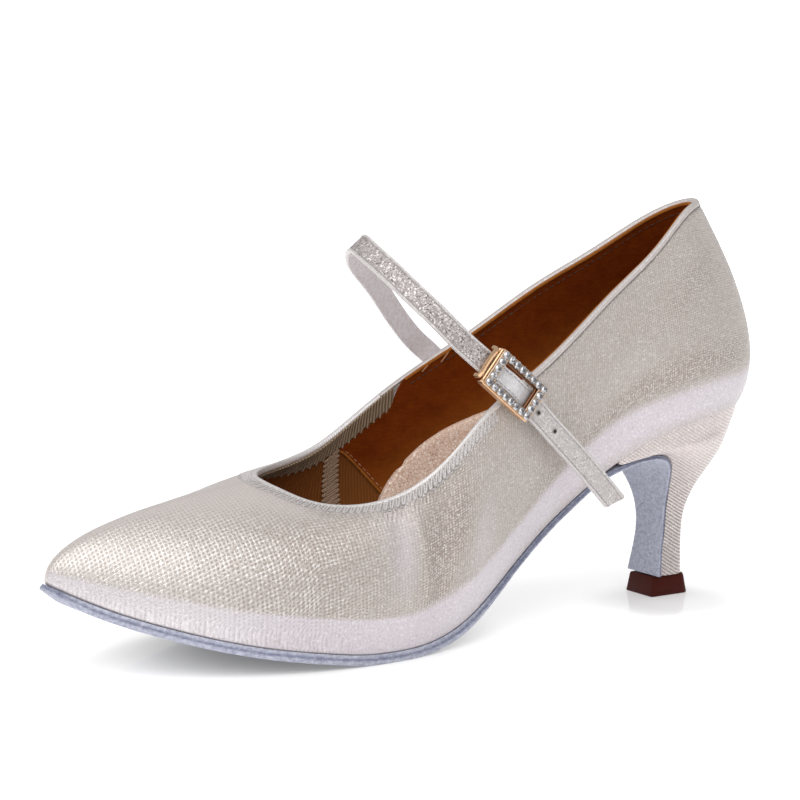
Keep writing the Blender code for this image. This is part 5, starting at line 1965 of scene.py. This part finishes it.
@dataclass
class Heel:
    """Covered heel block and the plastic tip under it."""

    bottom: Bottom
    columns: int = 44
    rows: int = 150
    lip_along: float = 0.2515
    tip_top: float = 0.0063
    tip_length: float = 0.0142
    tip_width: float = 0.0126
    tip_corner: float = 0.0022

    def block(self, effects: Effects) -> None:
        """The block: a spline through the heel's slices, each half an outline of the seat made narrower."""
        last = self.bottom.last
        lip = float(last.place_along(self.lip_along))
        back = float(last.place_along(RIBS[0].along))
        share = np.sin(np.linspace(0, pi / 2, self.columns))
        seat_x = lip + (back - lip) * share
        outer_y, inner_y = last.side_widths(seat_x, 0.0)
        outer_y[-1] = inner_y[-1] = 0.0
        seat = np.column_stack([seat_x, last.feather_height(seat_x) + 0.00025])
        path = self.bottom.breast()
        breast = path - last.gap * self.bottom.slope_normals(path)
        lines = [np.column_stack([seat, np.ones(len(share))])]
        for row, front in zip(HEEL, breast):
            rear = (last.place_along(row.back_along), self.bottom.heel_height(row.back_height))
            line = front + (np.array(rear, float) - front) * share[:, None]
            narrow = np.full(len(share), row.half * last.seat_width / 2 / outer_y[0])
            lines.append(np.column_stack([line, narrow]))
        slices = np.array(lines)
        gaps = np.linalg.norm(np.diff(slices[:, ::8, :2].mean(axis=1), axis=0), axis=1)
        knots = np.concatenate([[0.0], np.cumsum(np.maximum(gaps, 0.002))])
        fine = np.linspace(0, knots[-1], self.rows)
        dense = spline(knots, slices.reshape(len(slices), -1), fine).reshape(self.rows, len(share), 3)
        halves = []
        for widths, order in ((outer_y, slice(None)), (inner_y, slice(-2, None, -1))):
            side = np.stack([dense[..., 0], widths * dense[..., 2], dense[..., 1]], axis=-1)
            halves.append(side[:, order])
        points = np.concatenate(halves, axis=1)
        cloth = HeelCover().material(effects)
        make_piece("heel_cover", grid_shell(points), cloth, ("heel",))

    def tip(self, effects: Effects) -> None:
        """The tip: a plan with a straight front and round back corners, drawn in at its top and bottom."""
        turns = np.linspace(0, pi / 2, 9)
        front, half, corner = self.tip_length / 2, self.tip_width / 2, self.tip_corner
        small = 0.00035
        nose = [(front - small + small * np.cos(t), half - small + small * np.sin(t)) for t in turns]
        back = -front + corner
        heel = [(back - corner * np.sin(t), half - corner + corner * np.cos(t)) for t in turns]
        side = np.array(nose + heel)
        plan = np.concatenate([side, side[::-1] * (1, -1)])
        levels = [
            (0.0, -0.00020), (0.00010, -0.00042), (0.0004, -0.00048), (0.0030, -0.0001), (0.0056, 0.00026),
            (self.tip_top - 0.0002, 0.00042), (self.tip_top, 0.0006),
        ]
        size = np.array([front, half])
        loops = [np.column_stack([plan * (1 - drawn / size), np.full(len(plan), z)]) for z, drawn in levels]
        plastic = Plastic().material(effects)
        make_piece("tip_block", grid_shell(np.array(loops)), plastic, ("heel_tip",))

    def build(self, effects: Effects) -> None:
        """Makes the covered block and its tip."""
        self.block(effects)
        self.tip(effects)


@dataclass
class Strap:
    """The instep strap: glitter fabric with piped edges, stitched, with a round tail and small holes."""

    last: Last
    skin: Skin
    width: float = 0.0072
    thickness: float = 0.0017
    seat: float = 0.0007
    proud: float = 0.0003
    buckle_row: float = 15.0
    window: float = 0.0067
    hump: float = 0.0008
    narrow: float = 0.00295
    tail_slant: float = 0.00135
    stations: int = 620
    lean: tuple[float, float, float] = (0.80, 0.0, -0.60)

    def wall_side(self, x: Array, z: Array, side: int) -> Array:
        """Distance across to the outer wall at the distances x and heights z of one side."""
        half = self.last.ribs / 2
        ends = (1.0, half - 1.0) if side > 0 else (half + 1.0, self.last.ribs - 1.0)
        skin = self.last.curves(np.linspace(*ends, 160), 81).reshape(-1, 3)
        far = (skin[None, :, 0] - x[:, None]) ** 2 + (skin[None, :, 2] - z[:, None]) ** 2
        near = np.argsort(far, axis=1)[:, :4]
        weight = 1 / (np.take_along_axis(far, near, axis=1) + 1e-9)
        return (skin[near, 1] * weight).sum(axis=1) / weight.sum(axis=1)

    def line(self, at: Array) -> Array:
        """Middle line of the strap at places counted in rows of its table."""
        last = self.last
        x = last.place_along(column(STRAP, "along"))
        z = last.feather_height(x) + column(STRAP, "height") * last.quarter_height
        y = column(STRAP, "out") * last.collar_width / 2
        resting = column(STRAP, "on_wall") > 0
        seat = self.proud + self.seat + self.thickness / 2
        y[resting] = self.wall_side(x[resting], z[resting], -1) - seat
        return spline(np.arange(len(STRAP)), np.column_stack([x, y, z]), at)

    def frame(self, at: Array) -> tuple[Array, Array, Array, Array]:
        """Middle line of the strap with its run, its width's direction and its outward direction."""
        step = 0.02
        final = len(STRAP) - 1
        line = self.line(at)
        run = unit(self.line(np.minimum(at + step, final)) - self.line(np.maximum(at - step, 0)))
        lean = np.array(self.lean)
        width = unit(lean - (run @ lean)[:, None] * run)
        return line, run, width, np.cross(width, run)

    def shaped(self, at: Array) -> tuple[Array, Array, Array, Array]:
        """Middle line humped in the buckle's window, the directions of width and out, and the half width."""
        line, _, width, outward = self.frame(at)
        centre, buckle_run = (item[0] for item in self.frame(np.array([self.buckle_row]))[:2])
        reach = (line - centre) @ buckle_run
        hump = np.clip(1 - (reach / self.window) ** 2, 0, 1) ** 2 * (line[:, 1] > 0)
        line = line + outward * hump[:, None] * self.hump
        distance = run_length(line)
        from_tail = distance[-1] - distance
        half = np.full(len(at), self.width / 2)
        corner = 0.0007
        tail = np.clip(1 - from_tail / corner, 0, 1)
        half = half - corner * (1 - np.sqrt(np.maximum(1 - tail**2, 0.0)))
        half = half + (np.minimum(half, self.narrow) - half) * np.clip(5 * hump, 0, 1)
        return line, width, outward, half

    def build(self, effects: Effects) -> None:
        """Makes the strap with its piping, stitches and holes."""
        final = len(STRAP) - 1
        tail_ease = 1 - (1 - np.linspace(0, 1, self.stations)) ** 1.35
        at = final * tail_ease
        line, width, outward, half = self.shaped(at)
        half_profile = [
            (0.0, 0.69), (0.28, 0.68), (0.55, 0.66), (0.68, 0.62), (0.73, 0.50), (0.765, 0.56), (0.81, 0.80),
            (0.87, 0.88), (0.93, 0.83), (0.975, 0.62), (1.00, 0.25), (1.00, -0.20), (0.99, -0.45),
            (0.96, -0.70), (0.86, -0.88), (0.70, -0.80), (0.35, -0.76),
        ]
        mirrored = [(-across, out) for across, out in half_profile[1:] if (across, out) != (0.99, -0.45)]
        around = half_profile[11::-1] + mirrored + half_profile[:11:-1]
        profile = np.array(around)
        thick = self.thickness / 2
        points = (
            line[:, None]
            + width[:, None] * (half[:, None] * profile[:, 0])[..., None]
            + outward[:, None] * (thick * profile[:, 1])[None, :, None]
        )
        run = unit(np.gradient(line, axis=0))
        from_tail = run_length(line)[-1] - run_length(line)
        slant = self.tail_slant * smooth_step(0.012, 0.0, from_tail)[:, None] * (0.4 - profile[:, 0])
        points = points + run[:, None] * slant[..., None]
        centre = self.frame(np.array([self.buckle_row]))[0][0]
        away = np.linalg.norm(line - centre, axis=1)
        past = smooth_step(self.buckle_row + 0.6, self.buckle_row + 1.0, at)
        grid = points.shape[:2]
        masks = {
            "inner": spread(smooth_step(0.1, -0.4, profile[:, 1]), grid),
            "piping": spread(smooth_step(0.74, 0.80, np.abs(profile[:, 0])), grid),
            "window": spread(smooth_step(0.0075, 0.006, away)[:, None], grid),
            "tail": spread(past[:, None], grid),
        }
        shell = grid_shell(points, masks=masks)
        make_piece("strap_cloth", shell, self.finish(effects), ("strap",), radians(60))
        self.sewing(effects)

    def finish(self, effects: Effects) -> bpy.types.Material:
        """Silver glitter with lighter piping, a grey-taupe inner face, and a painted sheen where it lies in
        the buckle's window.
        """
        cloth = GlitterCloth(
            "strap_glitter",
            (0.40, 0.355, 0.345, 1.0),
            (0.78, 0.73, 0.73, 1.0),
            (0.12, 0.10, 0.095, 1.0),
            0.00045,
            0.30,
            0.00010,
        )
        graph = Surface(cloth.material(effects))
        base = graph.feeding("Base Color")
        base = graph.mix(graph.times(graph.mask("piping"), 0.55), base, (0.74, 0.71, 0.70, 1.0))
        base = graph.mix(graph.times(graph.mask("tail"), 0.55), base, (0.60, 0.57, 0.56, 1.0))
        cloud = graph.between(graph.noise(graph.place(), 900.0, 3.0), 0.4, 0.6)
        lining = graph.mix(cloud, (0.83, 0.76, 0.775, 1.0), (0.90, 0.86, 0.88, 1.0))
        base = graph.mix(graph.mask("inner"), base, lining)
        metallic = graph.times(graph.feeding("Metallic"), graph.rest(graph.mask("inner")))
        # Painted sheen: paler where the strap lies in the buckle's window.
        base = graph.mix(graph.times(graph.mask("window"), 0.55), base, (0.96, 0.96, 1.0, 1.0))
        return graph.finished(Base_Color=base, Metallic=metallic)

    def sewing(self, effects: Effects) -> None:
        """Stitches inside both edges and the bound holes of the tail."""
        final = len(STRAP) - 1
        thread = Thread("strap_thread", (0.50, 0.47, 0.46, 1.0), (0.24, 0.22, 0.215, 1.0)).material()
        at = np.linspace(0.15, final - 0.12, 900)
        line, width, outward, half = self.shaped(at)
        shells = []
        for side in (1, -1):
            path = line + width * (side * 0.715 * half)[:, None] + outward * (self.thickness / 2 * 0.52)
            shells.append(stitch_shell(path, outward, 0.0017, 0.00125, 0.00015, 0.00012))
        make_piece("strap_stitches", joined(shells), thread)
        rims = []
        pits = []
        turn = np.linspace(0, 2 * pi, 17)
        for place in (16.25, 16.85):
            centre, run, across, out = (item[0] for item in self.frame(np.array([place])))
            top = centre + out * (self.thickness / 2 * 0.70)
            circle = np.cos(turn)[:, None] * run + np.sin(turn)[:, None] * across
            ring = top + circle * 0.00075 + out * 0.00002
            rims.append(tube_shell(ring[None], np.broadcast_to(out, ring.shape)[None], 0.0002, 6))
            radii = np.array([0.00072, 0.00068, 0.0003, 0.00005])
            heights = np.array([-0.0002, 0.00006, 0.0001, 0.0001])
            cup = top + circle[None, :-1] * radii[:, None, None] + out * heights[:, None, None]
            pits.append(grid_shell(cup))
        make_piece("hole_rims", joined(rims), thread, (), radians(80))
        # The holes' cups are near black: painted shade inside the holes.
        dark = Suede("hole_painted_shade", (0.03, 0.022, 0.018, 1.0), (0.06, 0.05, 0.04, 1.0)).material(effects)
        make_piece("hole_pits", joined(pits), dark)


@dataclass
class Buckle:
    """Fastened buckle: gilt frame with side walls, curved keeper, and a row of stones in claws."""

    strap: Strap
    length: float = 0.0210
    width: float = 0.0125
    rim_ends: float = 0.0038
    rim_sides: float = 0.0029
    plate: float = 0.0010
    skirt: float = 0.0021
    corner: float = 0.0012
    skirt_wall: float = 0.0009
    keeper: float = 0.0013
    band: float = 0.0006
    inset: float = 0.00035
    stone: float = 0.0026
    pitch: float = 0.0026
    stone_rise: float = 0.0008

    def rectangle(self, length: float, width: float, corner: float, per_corner: int = 7) -> Array:
        """Points round a rectangle with round corners, centred on the origin."""
        turns = np.linspace(0, pi / 2, per_corner)
        points = []
        for quarter, (sx, sy) in enumerate(((1, 1), (-1, 1), (-1, -1), (1, -1))):
            middle = np.array([sx * (length / 2 - corner), sy * (width / 2 - corner)])
            turn = turns + quarter * pi / 2
            points.append(middle + corner * np.column_stack([np.cos(turn), np.sin(turn)]))
        return np.concatenate(points)

    def placed(self, local: Array) -> Array:
        """Points given along, across and out from the strap's middle line, in the shoe's frame."""
        middle = np.array([self.strap.buckle_row])
        centre, run, width, outward = (item[0] for item in self.strap.frame(middle))
        return centre + local @ np.array([run, width, outward])

    def low(self) -> float:
        """Height of the plate's underside over the strap's middle line."""
        return self.strap.thickness / 2 + 0.0003

    def looped(self, rows: list[tuple[Array, Array | float]], dark_rows: int = 2) -> Shell:
        """A ring through plans at their heights, whose first dark_rows are the sides of its window, given
        painted shade.
        """
        loops = [np.column_stack([plan, np.broadcast_to(level, len(plan))]) for plan, level in rows]
        inside = np.zeros((len(loops[0]), len(loops)))
        inside[:, :dark_rows] = 1.0
        return grid_shell(self.placed(np.stack(loops, axis=1)), ring_rows=True, masks={"inside": inside})

    def rim_plans(self, inset: float, ease: float) -> tuple[Array, Array, Array, Array]:
        """Window and outline of the rim, each with a copy that its eased edge leads to.

        Args:
            inset: How far both keep inside the rim's edges.
            ease: Width of the eased edge.

        Returns:
            The window, the window widened, the outline, and the outline drawn in.
        """
        hole_length = self.length - 2 * self.rim_ends + 2 * inset
        hole_width = self.width - 2 * self.rim_sides + 2 * inset
        length, width = self.length - 2 * inset, self.width - 2 * inset
        return (
            self.rectangle(hole_length, hole_width, self.corner / 3),
            self.rectangle(hole_length + 2 * ease, hole_width + 2 * ease, self.corner / 3),
            self.rectangle(length, width, self.corner),
            self.rectangle(length - 2 * ease, width - 2 * ease, self.corner),
        )

    def frame_ring(self, gilt: bpy.types.Material) -> None:
        """The frame: flat rim round its window with skirts down both long sides, and eased edges."""
        ease = 0.00018
        inner, inner_out, outer, outer_in = self.rim_plans(0.0, ease)
        skirt_length = self.length - 2 * self.skirt_wall
        skirt_width = self.width - 2 * self.skirt_wall
        skirt = self.rectangle(skirt_length, skirt_width, self.corner / 2)
        low, high = self.low(), self.low() + self.plate
        on_side = np.abs(outer[:, 0]) < self.length / 2 - self.corner * 0.4
        drop = np.where(on_side, low - self.skirt, low - 0.00015)
        rows = [
            (inner, low), (inner, high - ease), (inner_out, high), (outer_in, high), (outer, high - ease),
            (outer, drop + ease), (outer_in, drop), (skirt, drop), (skirt, low),
        ]
        shell = self.looped(rows, 3)
        make_piece("buckle_frame_gilt", shell, gilt, ("buckle_frame",), radians(30))

    def keeper_bar(self, gilt: bpy.types.Material) -> None:
        """The keeper: a rounded section along a path up one side, over the strap and down the other."""
        thick = self.keeper
        place = -(self.length / 2 + 0.0003 + thick / 2)
        top = self.low() + self.plate - thick / 2
        foot = self.low() - self.skirt
        half = self.width / 2 - thick
        turns = np.linspace(0, pi / 2, 8)
        side = [(half, foot), (half, foot * 0.5 + (top - thick) * 0.5)]
        side += [(half - thick + thick * np.cos(t), top - thick + thick * np.sin(t)) for t in turns]
        cross = [(half * share, top) for share in (0.6, 0.3, 0.0)]
        path = np.array(side + cross)
        path = np.concatenate([path, (path * (-1, 1))[-2::-1]])
        bow = 0.4 * thick * (1 - (path[:, 0] / half) ** 2)
        tangent = unit(np.gradient(path, axis=0))
        out = np.column_stack([tangent[:, 1], -tangent[:, 0]])
        turn = np.linspace(0, 2 * pi, 12, endpoint=False) + pi / 12
        squared = np.column_stack([np.cos(turn), np.sin(turn)])
        squared = squared / np.maximum(np.abs(squared).max(axis=1, keepdims=True), 0.85) * thick / 2
        shifted = path[:, None] + out[:, None] * squared[:, :1]
        along = place - bow[:, None] + squared[:, 1]
        local = np.concatenate([along[..., None], shifted], axis=-1)
        shell = grid_shell(self.placed(local))
        make_piece("buckle_keeper_gilt", shell, gilt, ("buckle_keeper",), radians(35))

    def places(self) -> Array:
        """Middles of the stones, evenly spaced along each side of the rim."""
        half_length = (self.length - self.rim_ends) / 2
        half_width = (self.width - self.rim_sides) / 2
        long_count = int(round(2 * half_length / self.pitch)) + 1
        short_count = int(round(2 * half_width / self.pitch)) + 1
        along = np.linspace(-half_length, half_length, long_count)
        across = np.linspace(-half_width, half_width, short_count)[1:-1]
        places = [(x, side * half_width) for x in along for side in (1, -1)]
        places += [(side * half_length, y) for y in across for side in (1, -1)]
        return np.array(places)

    def setting(self, effects: Effects) -> None:
        """The setting plate under the stones, and four claws to each stone."""
        low = self.low() + self.plate + 0.0003
        high = low + self.band
        ease = 0.00012
        inner, inner_out, outer, outer_in = self.rim_plans(self.inset, ease)
        rows = [
            (inner, low - 0.0003), (inner, high - ease), (inner_out, high), (outer_in, high),
            (outer, high - ease), (outer, low - 0.0003),
        ]
        metal = Metal("setting_metal", (0.38, 0.27, 0.18, 1.0), (0.68, 0.56, 0.46, 1.0), 0.34)
        plate = metal.material(effects)
        make_piece("stone_plate", self.looped(rows), plate, (), radians(30))
        places = self.places()
        diagonal = np.array([(1, 1), (-1, 1), (-1, -1), (1, -1)]) / np.sqrt(2)
        claws = (places[:, None] + diagonal[None] * self.stone * 0.50).reshape(-1, 2)
        lean = np.tile(diagonal, (len(places), 1))
        rise = np.linspace(0, 1, 6)
        height = high - 0.0001 + rise * (self.stone_rise * 0.85)
        inward = 0.00012 * rise**2
        leaned = claws[:, None] - lean[:, None] * inward[:, None]
        path = np.concatenate([leaned, np.broadcast_to(height[:, None], leaned[..., :1].shape)], axis=-1)
        radius = 0.00020 * np.sqrt(np.maximum(1 - rise**4, 0.03))
        origin, forward = self.placed(np.array([(0.0, 0.0, 0.0), (1.0, 0.0, 0.0)]))
        aside = np.broadcast_to(forward - origin, path.shape)
        claw_shell = tube_shell(self.placed(path), aside, np.broadcast_to(radius, (len(claws), 6)), 6)
        make_piece("stone_claws", claw_shell, plate, (), radians(60))

    def stones(self, effects: Effects) -> None:
        """Cut stones: eight-sided girdle, two turned rings of facets and a flat table."""
        high = self.low() + self.plate + 0.0003 + self.band
        sides = 8
        turn = np.arange(sides) * 2 * pi / sides
        rings = [
            (0.94, -0.00025, 0.0), (1.0, 0.00018, 0.0), (0.82, 0.00048, 0.5), (0.56, self.stone_rise, 0.0),
            (0.30, self.stone_rise + 0.00001, 0.0),
        ]
        shells = []
        for x, y in self.places():
            loops = []
            for scale, level, twist in rings:
                angle = turn + twist * 2 * pi / sides
                circle = np.column_stack([np.cos(angle), np.sin(angle)]) * self.stone * 0.49 * scale
                loops.append(np.column_stack([circle + (x, y), np.full(sides, high + level)]))
            table = np.repeat([[0.0], [0.0], [0.0], [0.75], [1.0]], sides, axis=1)
            shells.append(grid_shell(self.placed(np.array(loops)), masks={"table": table}))
        cut = Stone().material(effects)
        make_piece("stones", joined(shells), cut, ("crystal_band",), radians(12))

    def build(self, effects: Effects) -> None:
        """Makes the metal, then the stones."""
        gilt = Metal("rose_gold", (0.68, 0.40, 0.21, 1.0), (0.85, 0.60, 0.39, 1.0), 0.26).material(effects)
        self.frame_ring(gilt)
        self.keeper_bar(gilt)
        self.setting(effects)
        self.stones(effects)


@dataclass
class Studio:
    """White floor, soft light from high on the toe's side, and the camera at the photograph's angle."""

    camera_at: tuple[float, float, float] = (0.58569, 0.74536, 0.20355)
    aim: tuple[float, float, float] = (0.09928, -0.0001, 0.07052)
    lens: float = 134.2
    floor_size: float = 30.0
    key_strength: float = 1.75
    toe_power: float = 1.3
    toe_size: float = 0.45
    sky: float = 0.52
    front_sky: float = 0.26
    # Painted shadows on the floor: middle, reach and how much the glow drops there, under the ball and round
    # the heel tip.
    shades: tuple[tuple[tuple[float, float, float], float, float], ...] = (
        ((0.135, 0.0, 0.0), 0.070, -0.34),
        ((0.005, 0.015, 0.0), 0.034, -0.26),
    )

    def camera(self) -> None:
        """Camera looking from camera_at to aim."""
        data = bpy.data.cameras.new("photo_camera")
        data.lens = self.lens
        data.sensor_width = 36.0
        camera = bpy.data.objects.new("photo_camera", data)
        camera.location = self.camera_at
        way = Vector(self.aim) - Vector(self.camera_at)
        camera.rotation_euler = way.to_track_quat("-Z", "Y").to_euler()
        bpy.context.collection.objects.link(camera)
        bpy.context.scene.camera = camera

    def lamp(
        self, data: bpy.types.Light, towards: tuple[float, float, float], away: float, energy: float
    ) -> None:
        """Places a light in a direction from the aim, turned back to it."""
        data.energy = energy
        lamp = bpy.data.objects.new(data.name, data)
        way = Vector(towards).normalized()
        lamp.location = Vector(self.aim) + way * away
        lamp.rotation_euler = (-way).to_track_quat("-Z", "Y").to_euler()
        bpy.context.collection.objects.link(lamp)

    def key(self) -> None:
        """The main light: a wide soft sun from above and in front, even over the whole floor."""
        data = bpy.data.lights.new("key_light", "SUN")
        data.angle = radians(60)
        self.lamp(data, (0.40, 0.50, 0.95), 1.0, self.key_strength)

    def toe_light(self) -> None:
        """A square soft light in front of the toe."""
        data = bpy.data.lights.new("toe_light", "AREA")
        data.shape = "SQUARE"
        data.size = self.toe_size
        self.lamp(data, (0.85, -0.05, 0.54), 1.2, self.toe_power)

    def world(self) -> None:
        """White to the camera, and for light a soft grey sky that is darker low down in front of the shoe."""
        world = bpy.data.worlds.new("studio")
        world.use_nodes = True
        bpy.context.scene.world = world
        graph = Graph(world.node_tree)
        background = world.node_tree.nodes["Background"]
        way = graph.node("ShaderNodeTexCoord").outputs["Generated"]
        front = graph.measure("DOT_PRODUCT", way, (0.546, 0.837, 0.0))
        low = graph.between(graph.split(way)[2], 0.62, 0.05)
        shade = graph.times(graph.between(front, 0.05, 0.75), low)
        strength = graph.fused(shade, self.front_sky - self.sky, self.sky)
        seen = graph.node("ShaderNodeLightPath").outputs["Is Camera Ray"]
        shown = graph.fused(seen, graph.rest(strength), strength)
        graph.tree.links.new(shown, background.inputs["Strength"])
        background.inputs["Color"].default_value = (1.0, 1.0, 1.0, 1.0)

    def floor(self) -> None:
        """A flat pale floor with its top at zero that glows as painted light: more far off, and less under
        the ball and round the heel tip, which paints shadows there.
        """
        half = self.floor_size
        corners = [(-half, -half, 0.0), (half, -half, 0.0), (half, half, 0.0), (-half, half, 0.0)]
        mesh = bpy.data.meshes.new("floor")
        mesh.from_pydata(corners, [], [(0, 1, 2, 3)])
        white = (1.0, 1.0, 1.0, 1.0)
        graph = surface("floor_white", Base_Color=(0.93, 0.93, 0.93, 1.0), Emission_Color=white)
        place = graph.place()
        far = graph.between(graph.measure("LENGTH", place), 0.30, 1.1)
        # Painted light: the floor glows so that it reads white, more further off; the shades lower the glow
        # as painted shadows.
        glow = graph.fused(far, 0.4, 0.46)
        for middle, reach, amount in self.shades:
            apart = graph.between(graph.measure("DISTANCE", place, middle), reach, reach * 0.3)
            glow = graph.fused(apart, amount, glow)
        finish = graph.finished(
            Roughness=graph.fused(graph.noise(place, 8.0), 0.03, 0.05),
            Specular_IOR_Level=graph.fused(far, -0.3, 0.3),
            Emission_Strength=glow,
        )
        mesh.materials.append(finish)
        piece = bpy.data.objects.new("floor", mesh)
        bpy.context.collection.objects.link(piece)

    def build(self) -> None:
        """Sets camera, floor, world and lights."""
        self.camera()
        self.floor()
        self.world()
        self.key()
        self.toe_light()
        bpy.context.scene.view_settings.view_transform = "Standard"


def main() -> None:
    """Builds the shoe's pieces from the sole up, then the studio."""
    logging.basicConfig(level=logging.INFO, format="%(name)s %(message)s")
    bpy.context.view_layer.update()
    effects = Effects()
    last = Last()
    skin = Skin(last)
    bottom = Bottom(last, skin)
    bottom.build(effects)
    Heel(bottom).build(effects)
    Upper(last, skin).build(effects)
    Topline(last, skin).build(effects)
    Linings(last, skin).build(effects)
    strap = Strap(last, skin)
    strap.build(effects)
    Buckle(strap).build(effects)
    Studio().build()


if __name__ == "__main__":
    main()
